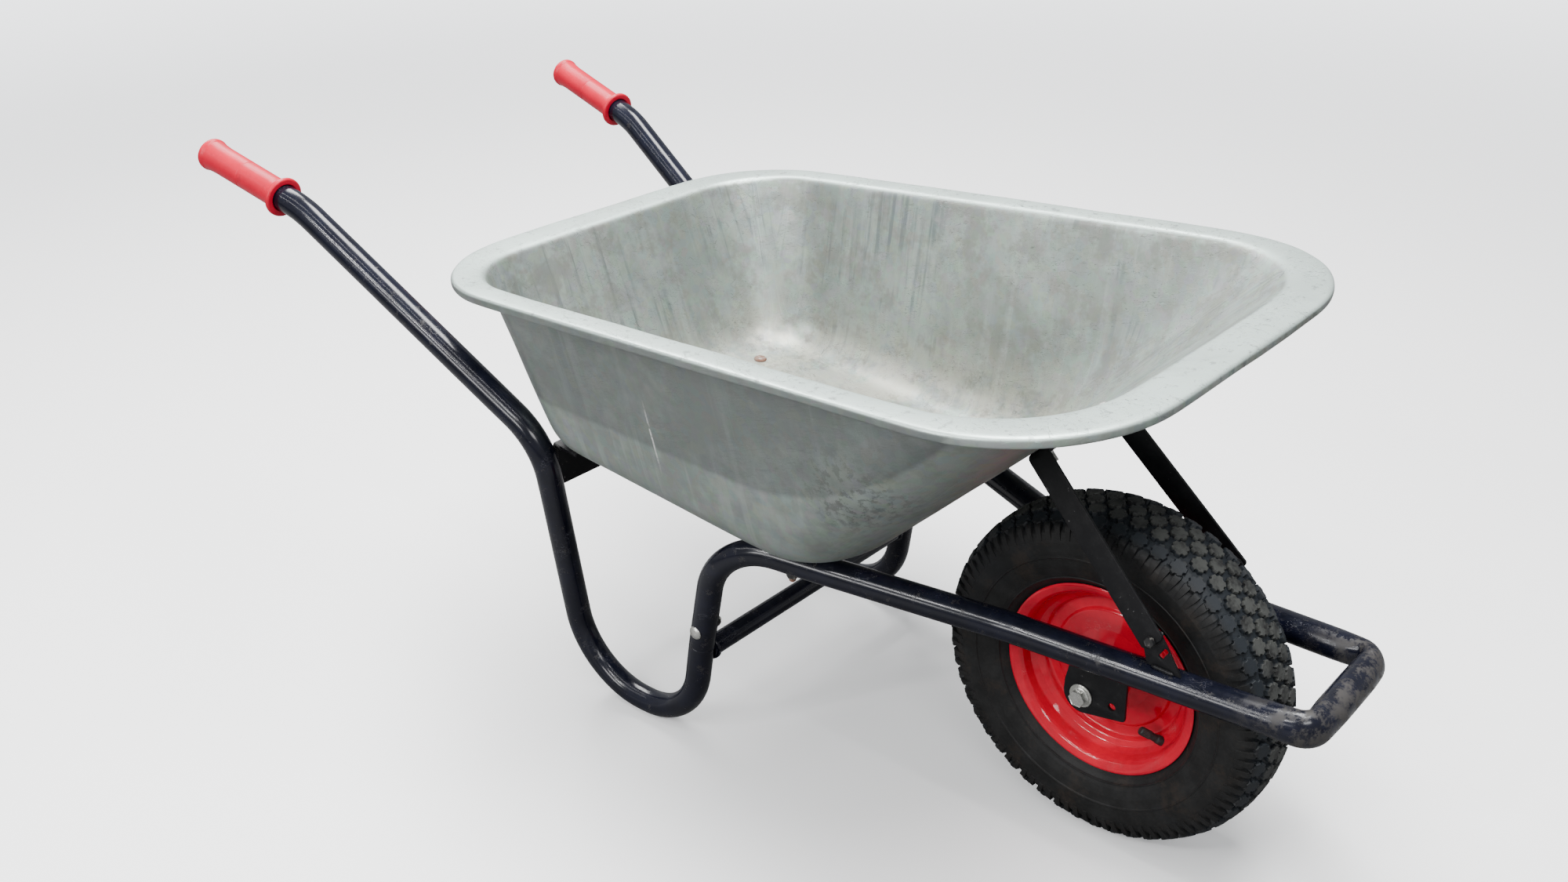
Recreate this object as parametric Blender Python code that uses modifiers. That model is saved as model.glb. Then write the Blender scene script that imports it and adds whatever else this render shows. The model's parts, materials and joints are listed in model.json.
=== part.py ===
"""Builder's wheelbarrow: a pressed tray on a bolted tubular frame, with one pneumatic wheel.

Metres, +Z up. +X points forwards, towards the wheel, and +Y to the operator's left. The origin is
on the ground at the middle of the object's length and width. The side frames and everything that
is paired are built at +Y and mirrored through the plane y = 0 by a sign, left +1 and right -1.
"""

from math import cos, hypot, pi, radians, sin, tan

import bmesh
import bpy
from mathutils import Matrix, Vector

# Wheel
AXLE_X = 0.4606  # the axle, from the middle of the object's length
AXLE_Z = 0.200  # half of the tyre's outside diameter
TYRE_RADIUS = 0.200
TYRE_HALF_WIDTH = 0.050
RIM_FLANGE_RADIUS = 0.115
RIM_SHEET = 0.0018
WHEEL_STEPS = 32
TYRE_STEPS = 40
HUB_RADIUS = 0.016
HUB_HALF_LENGTH = 0.050
SLEEVE_RADIUS = 0.0085

# Frame tubes
TUBE_RADIUS = 0.0167
TUBE_WALL = 0.0016
BRACE_RADIUS = 0.0125
SIDES = 12

# Tray
TRAY_SHEET = 0.0011
FLOOR_RISE = -0.092  # height gained per metre forwards
FLOOR_HEIGHT = 0.3104  # underside, at FLOOR_X from the axle
FLOOR_X = -0.300
RIM_RISE = 0.0615
RIM_HEIGHT = 0.6015  # rim plane, above the axle
FRONT_WALL_FOOT = -0.2463  # where the front wall would meet the floor and the rim plane
FRONT_WALL_HEAD = 0.0640

# Fasteners: shank radius, width across flats, head height
M6 = (0.003, 0.010, 0.004)
M8 = (0.004, 0.013, 0.0053)
M10 = (0.005, 0.017, 0.0064)
GAP = 0.0003  # left between pieces that touch

SIDE_NAMES = (("left", 1), ("right", -1))

# Route of one side tube, from the grip to the frame joint, as corners (x from the axle, y, z)
# and the radius that each corner is bent to
HANDLE_END = (-1.1790, 0.2857, 0.6268)
GRIP_FACE = (-1.0502, 0.2725, 0.5920)
HANDLE_BEND = (-1.0186, 0.2692, 0.5833)
LEG_TOP = (-0.6660, 0.2240, 0.3555)
LEG_FOOT = (-0.6660, 0.1985, TUBE_RADIUS)
RISER_FOOT = (-0.4716, 0.1945, TUBE_RADIUS)
JOINT_SEAM = (-0.4461, 0.1925, 0.1435)
SWAGED_END = (-0.4357, 0.1917, 0.1950)
HANDLE_RADIUS = 0.130
LEG_RADIUS = 0.090
FOOT_RADIUS = 0.097

# Route of half of the front tube, from the frame joint to the middle of the cross bar
RISER_TOP = (-0.4130, 0.1905, 0.3060)
ARM_BEND = (-0.0750, 0.0905, 0.2660)
NOSE_CORNER = (0.2533, 0.0760, 0.2770)
RISER_TOP_RADIUS = 0.085
ARM_RADIUS = 0.150
NOSE_RADIUS = 0.030

JOINT_BOLT_Z = 0.168
BRACE_Z = 0.128
BRACKET_FACE = 0.0680  # outer face of each axle bracket, from the middle plane
BRACKET_SHEET = 0.004
STRUT_FOOT = (0.0865, 0.0883, 0.3170)
STRUT_LEAN = -0.0247  # how far a strut runs inwards on its way up
STRUT_WIDTH = 0.023
STRUT_SHEET = 0.003
REAR_BOLT = (-0.647, 0.135)
FRONT_BOLT = (-0.318, 0.1624)


# ---------------------------------------------------------------- scene and materials


def clear_scene():
    for obj in list(bpy.data.objects):
        bpy.data.objects.remove(obj, do_unlink=True)


def add_collection(name):
    collection = bpy.data.collections.new(name)
    bpy.context.scene.collection.children.link(collection)
    return collection


def make_material(name, colour, roughness, metallic):
    material = bpy.data.materials.new(name)
    material.use_nodes = True
    shader = material.node_tree.nodes["Principled BSDF"]
    shader.inputs["Base Color"].default_value = (*colour, 1)
    shader.inputs["Roughness"].default_value = roughness
    shader.inputs["Metallic"].default_value = metallic
    material.diffuse_color = (*colour, 1)
    return material


def make_materials():
    return {
        "galvanised": make_material("galvanised sheet", (0.38, 0.42, 0.39), 0.45, 0.85),
        "frame_paint": make_material("frame paint", (0.012, 0.014, 0.030), 0.25, 0.0),
        "red_paint": make_material("rim paint", (0.55, 0.012, 0.016), 0.20, 0.0),
        "red_plastic": make_material("grip plastic", (0.75, 0.030, 0.050), 0.40, 0.0),
        "tyre_rubber": make_material("tyre rubber", (0.025, 0.025, 0.028), 0.75, 0.0),
        "soft_rubber": make_material("tube rubber", (0.015, 0.015, 0.015), 0.60, 0.0),
        "zinc": make_material("zinc plate", (0.60, 0.60, 0.57), 0.30, 1.0),
        "nylon": make_material("bush nylon", (0.70, 0.68, 0.60), 0.45, 0.0),
    }


class Build:
    """The collections and materials that every piece needs."""

    def __init__(self):
        self.parts = add_collection("wheelbarrow")
        self.cutters = add_collection("cutters")
        self.materials = make_materials()

    def add(self, name, data, finish=None):
        obj = bpy.data.objects.new(name, data)
        self.parts.objects.link(obj)
        if finish:
            data.materials.append(self.materials[finish])
        return obj

    def add_cutter(self, name, data):
        obj = bpy.data.objects.new(name, data)
        self.cutters.objects.link(obj)
        obj.hide_render = True
        obj.display_type = "WIRE"
        return obj


# ---------------------------------------------------------------- geometry helpers


def world(point, side=1):
    """A point given from the axle, on the left (1) or the right (-1), in the object's frame."""
    return Vector((point[0] + AXLE_X, point[1] * side, point[2]))


def smooth(obj, angle=35):
    obj.data.shade_smooth()
    obj.data.set_sharp_from_angle(angle=radians(angle))


def aim(obj, position, direction):
    """Places an object with its local Z along a direction."""
    obj.location = position
    obj.rotation_mode = "QUATERNION"
    obj.rotation_quaternion = Vector(direction).to_track_quat("Z", "Y")


def circle(radius, count, centre=(0, 0)):
    turns = (2 * pi * k / count for k in range(count))
    return [(centre[0] + radius * cos(a), centre[1] + radius * sin(a)) for a in turns]


def bend(before, corner, after, radius, steps):
    """Points of the arc that rounds a corner of a route."""
    back = (before - corner).normalized()
    ahead = (after - corner).normalized()
    half = back.angle(ahead) / 2
    reach = radius / tan(half)
    centre = corner + (back + ahead).normalized() * (radius / sin(half))
    start = corner + back * reach - centre
    end = corner + ahead * reach - centre
    total = pi - 2 * half
    for k in range(steps + 1):
        share = k / steps
        yield centre + (
            start * sin((1 - share) * total) + end * sin(share * total)
        ) / sin(total)


def route(corners, bends):
    """A route through its corners, each bent to (radius, steps), or left sharp where None."""
    points = [corners[0]]
    for k, rule in enumerate(bends, 1):
        if rule:
            points.extend(bend(corners[k - 1], corners[k], corners[k + 1], *rule))
        else:
            points.append(corners[k])
    points.append(corners[-1])
    return points


def curve_data(name, points, closed=False):
    curve = bpy.data.curves.new(name, "CURVE")
    curve.dimensions = "3D"
    spline = curve.splines.new("POLY")
    spline.points.add(len(points) - 1)
    for target, point in zip(spline.points, points):
        target.co = (*point, 1)
    spline.use_cyclic_u = closed
    return curve


def mesh_of(build, obj):
    """Turns a curve object into a mesh object of the same name, with its doubles merged."""
    bpy.context.view_layer.update()
    graph = bpy.context.evaluated_depsgraph_get()
    mesh = bpy.data.meshes.new_from_object(obj.evaluated_get(graph))
    name, place = obj.name, obj.matrix_world.copy()
    bpy.data.objects.remove(obj, do_unlink=True)
    mesh.name = name
    shape = bmesh.new()
    shape.from_mesh(mesh)
    bmesh.ops.remove_doubles(shape, verts=shape.verts, dist=0.00001)
    shape.to_mesh(mesh)
    shape.free()
    made = build.add(name, mesh)
    made.matrix_world = place
    return made


def hollow_tube(build, name, points, radius, radii=None, wall=TUBE_WALL):
    """A round tube along a route, open at both ends. radii scales the radius at each point."""
    curve = curve_data(name, points)
    curve.bevel_depth = radius
    curve.bevel_resolution = SIDES // 2 - 2
    for k, scale in enumerate(radii or []):
        curve.splines[0].points[k].radius = scale
    curve.materials.append(build.materials["frame_paint"])
    tube = mesh_of(build, build.add(name, curve))
    shell = tube.modifiers.new("wall", "SOLIDIFY")
    shell.thickness = wall
    shell.offset = -1
    smooth(tube)
    return tube


def plate(build, name, outlines, thickness, finish):
    """A flat piece in its local XY plane, centred on it. Outlines after the first are holes."""
    curve = bpy.data.curves.new(name, "CURVE")
    curve.dimensions = "2D"
    curve.fill_mode = "BOTH"
    curve.extrude = thickness / 2
    for outline in outlines:
        spline = curve.splines.new("POLY")
        spline.points.add(len(outline) - 1)
        for target, (u, v) in zip(spline.points, outline):
            target.co = (u, v, 0, 1)
        spline.use_cyclic_u = True
    curve.materials.append(build.materials[finish])
    return build.add(name, curve)


def turned(build, name, profile, finish, steps=WHEEL_STEPS, closed=False):
    """A piece turned about its local Z. The profile, (radius, height), runs down its outer side."""
    mesh = bpy.data.meshes.new(name)
    shape = bmesh.new()
    verts = [shape.verts.new((radius, 0, height)) for radius, height in profile]
    for first, second in zip(verts, verts[1:] + (verts[:1] if closed else [])):
        shape.edges.new((first, second))
    shape.to_mesh(mesh)
    shape.free()
    obj = build.add(name, mesh, finish)
    screw = obj.modifiers.new("turn", "SCREW")
    screw.steps = screw.render_steps = steps
    screw.use_merge_vertices = True
    screw.merge_threshold = 0.00001
    screw.use_smooth_shade = True
    return obj


def cut(build, target, name, cutter_mesh, place):
    """Cuts a mesh, placed by a matrix in world space, out of a piece."""
    cutter = build.add_cutter(name, cutter_mesh)
    cutter.matrix_world = place
    boolean = target.modifiers.new(name, "BOOLEAN")
    boolean.operation = "DIFFERENCE"
    boolean.object = cutter


def rod_mesh(name, radius, length, segments=SIDES):
    """A plain rod about the local Z axis, centred on the origin."""
    mesh = bpy.data.meshes.new(name)
    shape = bmesh.new()
    bmesh.ops.create_cone(
        shape,
        cap_ends=True,
        segments=segments,
        radius1=radius,
        radius2=radius,
        depth=length,
    )
    shape.to_mesh(mesh)
    shape.free()
    return mesh


def cut_hole(build, target, centre, direction, radius, length):
    """A round hole through a piece."""
    name = f"{target.name}_hole_{len(target.modifiers)}"
    turn = Vector(direction).to_track_quat("Z", "Y").to_matrix().to_4x4()
    place = Matrix.Translation(centre) @ turn
    cut(build, target, name, rod_mesh(name, radius, length), place)


# ---------------------------------------------------------------- fasteners


def hexagon(across_flats):
    return circle(across_flats / 2 / cos(pi / 6), 6)


def hex_bolt(build, name, size, length, head, direction):
    """A hexagon bolt whose head sits at a point and whose shank runs along the direction."""
    shank, across_flats, height = size
    mesh = bpy.data.meshes.new(name)
    shape = bmesh.new()
    corner = across_flats / 2 / cos(pi / 6)
    bmesh.ops.create_cone(
        shape, cap_ends=True, segments=12, radius1=corner, radius2=corner, depth=height
    )
    for vert in shape.verts:
        vert.co.z -= height / 2
    # Every second corner moves in to the middle of a flat, which leaves a hexagon.
    for vert in shape.verts:
        turn = Vector((vert.co.x, vert.co.y)).angle_signed(Vector((1, 0)))
        if round(turn / (pi / 6)) % 2:
            vert.co.x *= cos(pi / 6)
            vert.co.y *= cos(pi / 6)
    under = max(shape.faces, key=lambda face: face.calc_center_median().z)
    bmesh.ops.inset_region(
        shape, faces=[under], thickness=across_flats / 2 - shank, use_even_offset=True
    )
    for vert in under.verts:
        ring = Vector((vert.co.x, vert.co.y)).normalized() * shank
        vert.co.x, vert.co.y = ring
    grown = bmesh.ops.extrude_discrete_faces(shape, faces=[under])["faces"][0]
    for vert in grown.verts:
        vert.co.z += length
    bmesh.ops.recalc_face_normals(shape, faces=shape.faces)
    shape.to_mesh(mesh)
    shape.free()
    bolt = build.add(name, mesh, "zinc")
    aim(bolt, head, direction)
    return bolt


def cup_bolt(build, name, size, length, head, direction):
    """A cup-headed bolt: a low dome on a round shank that runs along the direction."""
    shank, across_flats, height = size
    head_radius = across_flats * 0.75
    dome = [(head_radius * sin(a), height * cos(a)) for a in (0, pi / 6, pi / 3, pi / 2)]
    profile = [*dome, (shank, 0), (shank, -length), (0, -length)]
    bolt = turned(build, name, profile, "zinc", steps=SIDES)
    aim(bolt, head, -Vector(direction))
    return bolt


def nut(build, name, size, seat, direction):
    """A plain nut whose seat face is at a point, standing off it along the direction."""
    shank, across_flats, height = size
    hole = circle(shank + GAP, SIDES)
    made = plate(build, name, [hexagon(across_flats), hole], height, "zinc")
    aim(made, seat + Vector(direction).normalized() * height / 2, direction)
    return made


def washer(build, name, radius, hole_radius, thickness, seat, direction):
    rings = [circle(radius, 20), circle(hole_radius, 20)]
    made = plate(build, name, rings, thickness, "zinc")
    aim(made, seat + Vector(direction).normalized() * thickness / 2, direction)
    return made


# ---------------------------------------------------------------- tray


def floor_height(x):
    return FLOOR_HEIGHT + FLOOR_RISE * (x - FLOOR_X)


def rim_height(x):
    return RIM_HEIGHT + RIM_RISE * x


def half_outline(rear, front, half_width, rear_radius, front_radius, bow=0.0):
    """Half of a tray outline, from the middle of the rear to the middle of the front, as (x, y).

    half_width holds the half width at the rear and at the front, and bow rounds the front edge.
    """
    wide_rear, wide_front = half_width
    corners = [
        Vector((rear, -wide_rear, 0)),
        Vector((rear, wide_rear, 0)),
        Vector((front, wide_front, 0)),
        Vector((front, -wide_front, 0)),
    ]
    rear_arc = list(bend(*corners[0:3], rear_radius, 6))
    front_arc = list(bend(*corners[1:4], front_radius, 7))
    middle_rear = Vector((rear, 0, 0))
    middle_front = Vector((front, 0, 0))
    points = [middle_rear, middle_rear.lerp(rear_arc[0], 0.5), *rear_arc]
    points += [rear_arc[-1].lerp(front_arc[0], share) for share in (0.33, 0.67)]
    points += [*front_arc, front_arc[-1].lerp(middle_front, 0.5), middle_front]
    span = front - rear
    rounded = []
    for point in points:
        ahead = max(0.0, (point.x - rear) / span)
        pull = bow * (abs(point.y) / wide_front) ** 2 * ahead**4
        rounded.append((point.x - pull, point.y))
    return rounded


FLOOR_NORMAL = Vector((-FLOOR_RISE, 0, 1)).normalized()
WALL_FOOT = Vector((FRONT_WALL_FOOT, 0, floor_height(FRONT_WALL_FOOT)))
WALL_HEAD = Vector((FRONT_WALL_HEAD, 0, rim_height(FRONT_WALL_HEAD)))
WALL_NORMAL = (WALL_HEAD - WALL_FOOT).cross(Vector((0, 1, 0))).normalized()


def strut_frame(side):
    """Foot and head of a strut's middle line, its direction, its flat's normal and its width.

    The head lies in the middle of the folded end, which is flat against the tray's front wall.
    In side view the strut meets that wall square on.
    """
    foot = world(STRUT_FOOT, side)
    drop = world(WALL_FOOT) - foot
    reach = drop.dot(WALL_NORMAL) - STRUT_SHEET / 2 - GAP
    head = foot + WALL_NORMAL * reach + Vector((0, STRUT_LEAN * side, 0))
    line = (head - foot).normalized()
    across = line.cross(Vector((0, 1, 0))).normalized()
    return foot, head, line, line.cross(across), across


def strut_bolt_point(side):
    """Middle of the strut's folded end, where its bolt goes through the tray."""
    head = strut_frame(side)[1]
    return head - Vector((0, 0.016 * side, 0))


def on_plane(outline, height, lift=0.0):
    return [Vector((x, y, height(x) + lift)) for x, y in outline]


def between(row, other, share):
    return [a.lerp(b, share) for a, b in zip(row, other)]


def eased(row, corner, other, share):
    """A row of the smooth bend that leaves one row and joins another, past a corner row."""
    return between(between(row, corner, share), between(corner, other, share), share)


def tray_rows():
    """Rows of the tray's underside, from the middle of the floor out to the rim's lip."""
    foot = on_plane(
        half_outline(-0.693, FRONT_WALL_FOOT, (0.219, 0.219), 0.085, 0.085), floor_height
    )
    flat = on_plane(
        half_outline(-0.658, FRONT_WALL_FOOT - 0.030, (0.177, 0.177), 0.045, 0.045),
        floor_height,
    )
    head = on_plane(
        half_outline(-0.757, FRONT_WALL_HEAD, (0.260, 0.281), 0.100, 0.135, 0.010),
        rim_height,
    )
    edge = on_plane(
        half_outline(-0.806, 0.1310, (0.2900, 0.3160), 0.130, 0.165, 0.010), rim_height
    )
    spine = [Vector((point.x, 0, point.z)) for point in flat]
    low = between(foot, head, 0.17)
    high = between(foot, head, 0.92)
    brow = between(head, edge, 0.30)
    rows = [spine, flat]
    rows += [eased(flat, foot, low, share) for share in (0.25, 0.5, 0.75)]
    rows += [low, between(foot, head, 0.55), high]
    rows += [eased(high, head, brow, share) for share in (0.33, 0.67)]
    rows += [brow]
    crown = between(head, edge, 0.62)
    shoulder = between(head, edge, 0.92)
    rows.append([point + Vector((0, 0, 0.0012)) for point in crown])
    rows.append(shoulder)
    rows.append([point - Vector((0, 0, 0.0035)) for point in edge])
    rows.append([point - Vector((0, 0, 0.0115)) for point in edge])
    return rows


def build_tray(build):
    rows = tray_rows()
    mesh = bpy.data.meshes.new("tray")
    shape = bmesh.new()
    grid = [[shape.verts.new(world(point)) for point in row] for row in rows]
    for inner, outer in zip(grid, grid[1:]):
        for k in range(len(inner) - 1):
            shape.faces.new((inner[k], inner[k + 1], outer[k + 1], outer[k]))
    bmesh.ops.remove_doubles(shape, verts=shape.verts, dist=0.00001)
    bmesh.ops.dissolve_degenerate(shape, edges=shape.edges, dist=0.00001)
    bmesh.ops.recalc_face_normals(shape, faces=shape.faces)
    floor = min(shape.faces, key=lambda face: face.calc_center_median().z)
    if floor.normal.z > 0:
        bmesh.ops.reverse_faces(shape, faces=shape.faces)
    shape.to_mesh(mesh)
    shape.free()
    tray = build.add("tray", mesh, "galvanised")
    mirror = tray.modifiers.new("other half", "MIRROR")
    mirror.use_axis = (False, True, False)
    mirror.merge_threshold = 0.00005
    sheet = tray.modifiers.new("sheet", "SOLIDIFY")
    sheet.thickness = TRAY_SHEET
    sheet.offset = -1
    sheet.use_even_offset = True
    for _, side in SIDE_NAMES:
        for x, y in (REAR_BOLT, FRONT_BOLT):
            centre = world((x, y, floor_height(x)), side)
            cut_hole(build, tray, centre, FLOOR_NORMAL, M8[0] + GAP, 0.02)
        hole = strut_bolt_point(side)
        cut_hole(build, tray, hole, WALL_NORMAL, M8[0] + GAP, 0.02)
    smooth(tray)
    return tray


# ---------------------------------------------------------------- frame


def build_side_tube(build, name, side):
    """One tube: handle, rear leg, foot and the lower half of the riser, swaged at its end."""
    corners = [
        world(point, side)
        for point in (
            HANDLE_END,
            HANDLE_BEND,
            LEG_TOP,
            LEG_FOOT,
            RISER_FOOT,
            JOINT_SEAM,
            SWAGED_END,
        )
    ]
    bends = [
        (HANDLE_RADIUS, 3),
        (LEG_RADIUS, 4),
        (FOOT_RADIUS, 6),
        (FOOT_RADIUS, 6),
        None,
    ]
    points = route(corners, bends)
    # The swaged end fits inside the front tube: a short taper ends at the seam.
    taper = points[-2].lerp(points[-3], 0.10)
    points.insert(-2, taper)
    swaged = (TUBE_RADIUS - TUBE_WALL - 2 * GAP) / TUBE_RADIUS
    radii = [1.0] * (len(points) - 2) + [swaged, swaged]
    tube = hollow_tube(build, name, points, TUBE_RADIUS, radii, wall=TUBE_WALL)
    cut_hole(build, tube, joint_centre(side), (0, 1, 0), M8[0] + GAP, 0.06)
    return tube


def joint_centre(side):
    """Where the joint bolt crosses the riser's centre line."""
    low, high = world(JOINT_SEAM, side), world(RISER_TOP, side)
    return low.lerp(high, (JOINT_BOLT_Z - low.z) / (high.z - low.z))


def build_front_tube(build):
    """One tube: left riser, left arm, nose bar, right arm and right riser."""
    half = [JOINT_SEAM, RISER_TOP, ARM_BEND, NOSE_CORNER]
    corners = [world(point, 1) for point in half]
    corners += [world(point, -1) for point in reversed(half)]
    turns = [(RISER_TOP_RADIUS, 6), (ARM_RADIUS, 2), (NOSE_RADIUS, 4)]
    tube = hollow_tube(
        build, "front_frame_tube", route(corners, turns + turns[::-1]), TUBE_RADIUS
    )
    for _, side in SIDE_NAMES:
        cut_hole(build, tube, joint_centre(side), (0, 1, 0), M8[0] + GAP, 0.06)
        x, y = FRONT_BOLT
        centre = world((x, y, floor_height(x)), side) - FLOOR_NORMAL * TUBE_RADIUS
        cut_hole(build, tube, centre, FLOOR_NORMAL, M8[0] + GAP, 0.06)
    return tube


def build_brace(build):
    """A plain round tube between the risers, just below the frame joints."""
    rise = (BRACE_Z - JOINT_SEAM[2]) / (SWAGED_END[2] - JOINT_SEAM[2])
    x = JOINT_SEAM[0] + rise * (SWAGED_END[0] - JOINT_SEAM[0])
    reach = JOINT_SEAM[1] - TUBE_RADIUS - 2 * GAP
    ends = [world((x, reach, BRACE_Z), 1), world((x, reach, BRACE_Z), -1)]
    return hollow_tube(build, "leg_brace_tube", ends, BRACE_RADIUS, wall=0.0015)


def build_cross_member(build):
    """An angle section between the rear legs, with its flat flange under the tray."""
    width, depth, sheet = 0.040, 0.045, 0.004
    heel_x = -0.674
    outline = [
        (0, 0),
        (width, 0),
        (width, -sheet),
        (sheet, -sheet),
        (sheet, -depth),
        (0, -depth),
    ]
    half_length = 0.2022
    angle = plate(build, "rear_cross_member", [outline], 2 * half_length, "frame_paint")
    # Local X runs forwards along the floor, local Y up its normal, local Z across to the right.
    along = Vector((1, 0, FLOOR_RISE)).normalized()
    turn = Matrix((along, FLOOR_NORMAL, along.cross(FLOOR_NORMAL))).transposed()
    place = turn.to_4x4()
    place.translation = world((heel_x, 0, floor_height(heel_x) - GAP))
    angle.matrix_world = place
    angle = mesh_of(build, angle)
    for _, side in SIDE_NAMES:
        x, y = REAR_BOLT
        centre = world((x, y, floor_height(x)), side)
        cut_hole(build, angle, centre, FLOOR_NORMAL, M8[0] + GAP, 0.02)
    return angle


def upright(obj, y):
    """Stands a flat piece, drawn in (x, z), in a plane of constant y."""
    obj.location = (AXLE_X, y, 0)
    obj.rotation_euler = (pi / 2, 0, 0)


def build_axle_bracket(build, name, side):
    """A plate welded to the inside of the arm, with a round lobe about the axle."""
    lobe = 0.022
    top = 0.2660
    turns = [radians(angle) for angle in range(180, 286, 15)]
    outline = [(lobe * cos(a), AXLE_Z + lobe * sin(a)) for a in turns]
    outline += [(0.050, 0.1880), (0.053, 0.1900), (0.053, top), (-0.017, top)]
    outline += [(-0.017, 0.2300)]
    holes = [circle(M10[0] + GAP, SIDES, (0, AXLE_Z)), circle(0.0045, 10, (0.037, 0.201))]
    bracket = plate(build, name, [outline, *holes], BRACKET_SHEET, "frame_paint")
    upright(bracket, side * (BRACKET_FACE - BRACKET_SHEET / 2))
    return bracket


def build_strut_tab(build, name, side):
    """A slotted tab welded on top of the arm and leaning with the strut that is bolted to it."""
    foot, _, _, normal, _ = strut_frame(side)
    # Outline in the tab's own plane, from the bolt: forwards, then up.
    outline = [
        (0.001, -0.0275),
        (0.029, -0.0275),
        (0.020, -0.010),
        (0.006, 0.021),
        (-0.003, 0.027),
        (-0.0085, 0.006),
        (-0.0085, -0.006),
    ]
    slot = circle(0.0038, 10)
    slot = [(u + 0.014, v - 0.014 + (0.003 if v > 0 else -0.003)) for u, v in slot]
    holes = [slot, circle(M6[0] + GAP, SIDES)]
    tab = plate(build, name, [outline, *holes], STRUT_SHEET, "frame_paint")
    outward = normal * (side if normal.y > 0 else -side)
    forward = (Vector((1, 0, 0)) - normal * normal.x).normalized()
    up = forward.cross(outward) * side
    turn = Matrix((forward, up, forward.cross(up))).transposed().to_4x4()
    turn.translation = foot - outward * (STRUT_SHEET + GAP)
    tab.matrix_world = turn
    return tab


def build_strut(build, name, side):
    """A flat bar from the tab up to the tray's front wall, its top end folded against the wall."""
    foot, head, line, normal, across = strut_frame(side)
    inward = Vector((0, -side, 0))
    mesh = bpy.data.meshes.new(name)
    shape = bmesh.new()
    # The bar's middle line and its width there: a round foot, the straight bar, then the fold.
    stations = [
        (foot - line * 0.0110, 0.35),
        (foot - line * 0.0080, 0.72),
        (foot - line * 0.0030, 1.0),
        (foot + line * 0.0120, 1.0),
        (head, 1.0),
        (head + inward * 0.030, 1.0),
    ]
    rows = []
    for centre, width in stations:
        reach = across * STRUT_WIDTH / 2 * width
        rows.append([shape.verts.new(centre - reach), shape.verts.new(centre + reach)])
    for low, high in zip(rows, rows[1:]):
        shape.faces.new((low[0], low[1], high[1], high[0]))
    shape.to_mesh(mesh)
    shape.free()
    strut = build.add(name, mesh, "frame_paint")
    sheet = strut.modifiers.new("sheet", "SOLIDIFY")
    sheet.thickness = STRUT_SHEET
    sheet.offset = 0
    sheet.use_even_offset = True
    cut_hole(build, strut, foot, normal, M6[0] + GAP, 0.02)
    cut_hole(build, strut, strut_bolt_point(side), WALL_NORMAL, M8[0] + GAP, 0.02)
    return strut


def build_grip(build, name, side):
    """A blind plastic sleeve with a domed collar at its end and a wide guard at its mouth."""
    bore, body, mouth = TUBE_RADIUS + 0.0005, 0.0183, 0.0252
    length = 0.1430
    profile = [
        (0, length),
        (0.0120, length - 0.0004),
        (0.0176, length - 0.0018),
        (0.0201, length - 0.0042),
        (0.0206, length - 0.0070),
        (0.0201, length - 0.0100),
        (0.0190, length - 0.0180),
        (body, length - 0.0260),
        (body, 0.0160),
        (0.0195, 0.0110),
        (0.0225, 0.0075),
        (mouth, 0.0055),
        (mouth, 0.0015),
        (mouth - 0.0010, 0),
        (bore, 0),
        (bore, length - 0.0055),
        (0, length - 0.0055),
    ]
    grip = turned(build, name, profile, "red_plastic", steps=16)
    face, end = world(GRIP_FACE, side), world(HANDLE_END, side)
    aim(grip, face, end - face)
    return grip


# ---------------------------------------------------------------- wheel


def rim_profile(side):
    """Middle line of one pressed rim half, from its flange in to the hub, as (radius, height)."""
    line = [
        (RIM_FLANGE_RADIUS, 0.0340),
        (0.1100, 0.0335),
        (0.1050, 0.0315),
        (0.1020, 0.0270),
        (0.1000, 0.0180),
        (0.0945, 0.0115),
        (0.0885, 0.0075),
        (0.0855, 0.0013),
        (0.0722, 0.0013),
        (0.0700, 0.0044),
        (0.0480, 0.0060),
        (0.0300, 0.0120),
        (0.0177, 0.0260),
    ]
    return [(radius, side * height) for radius, height in line]


def build_rim_half(build, name, side):
    rim = turned(build, name, rim_profile(side), "red_paint")
    sheet = rim.modifiers.new("sheet", "SOLIDIFY")
    sheet.thickness = RIM_SHEET
    sheet.offset = 0
    return rim


def build_tyre(build):
    """A tyre section open towards the rim, between two beads."""
    outer = [
        (0.1040, 0.0250),
        (0.1072, 0.0295),
        (0.1160, 0.0315),
        (0.1250, 0.0412),
        (0.1450, 0.0482),
        (0.1660, TYRE_HALF_WIDTH),
        (0.1820, 0.0474),
        (0.1920, 0.0402),
        (0.1975, 0.0240),
        (TYRE_RADIUS, 0.0),
    ]
    inner = [
        (0.1945, 0.0),
        (0.1910, 0.0240),
        (0.1810, 0.0392),
        (0.1640, 0.0446),
        (0.1400, 0.0425),
        (0.1180, 0.0285),
        (0.1035, 0.0220),
    ]
    below = [(radius, -width) for radius, width in outer[-2::-1]]
    inside = [(radius, -width) for radius, width in reversed(inner[1:])]
    profile = outer + below + inside + inner
    return turned(build, "tyre", profile, "tyre_rubber", TYRE_STEPS, closed=True)


def build_inner_tube(build):
    """A thin rubber ring, open at the hole that its valve feeds."""
    middle, tall, wide = 0.1485, 0.0455, 0.0380
    turns = [2 * pi * (k + 0.5) / 8 for k in range(8)]
    profile = [(middle + tall * cos(a), -wide * sin(a)) for a in turns]
    tube = turned(build, "inner_tube", profile, "soft_rubber", steps=24, closed=True)
    wall = tube.modifiers.new("wall", "SOLIDIFY")
    wall.thickness = 0.0018
    wall.offset = -1
    return tube


def wheel_point(radius, height):
    """A point of the wheel at the valve's bearing, in the wheel's own frame."""
    return Vector((radius * cos(VALVE_TURN), radius * sin(VALVE_TURN), height))


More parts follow.
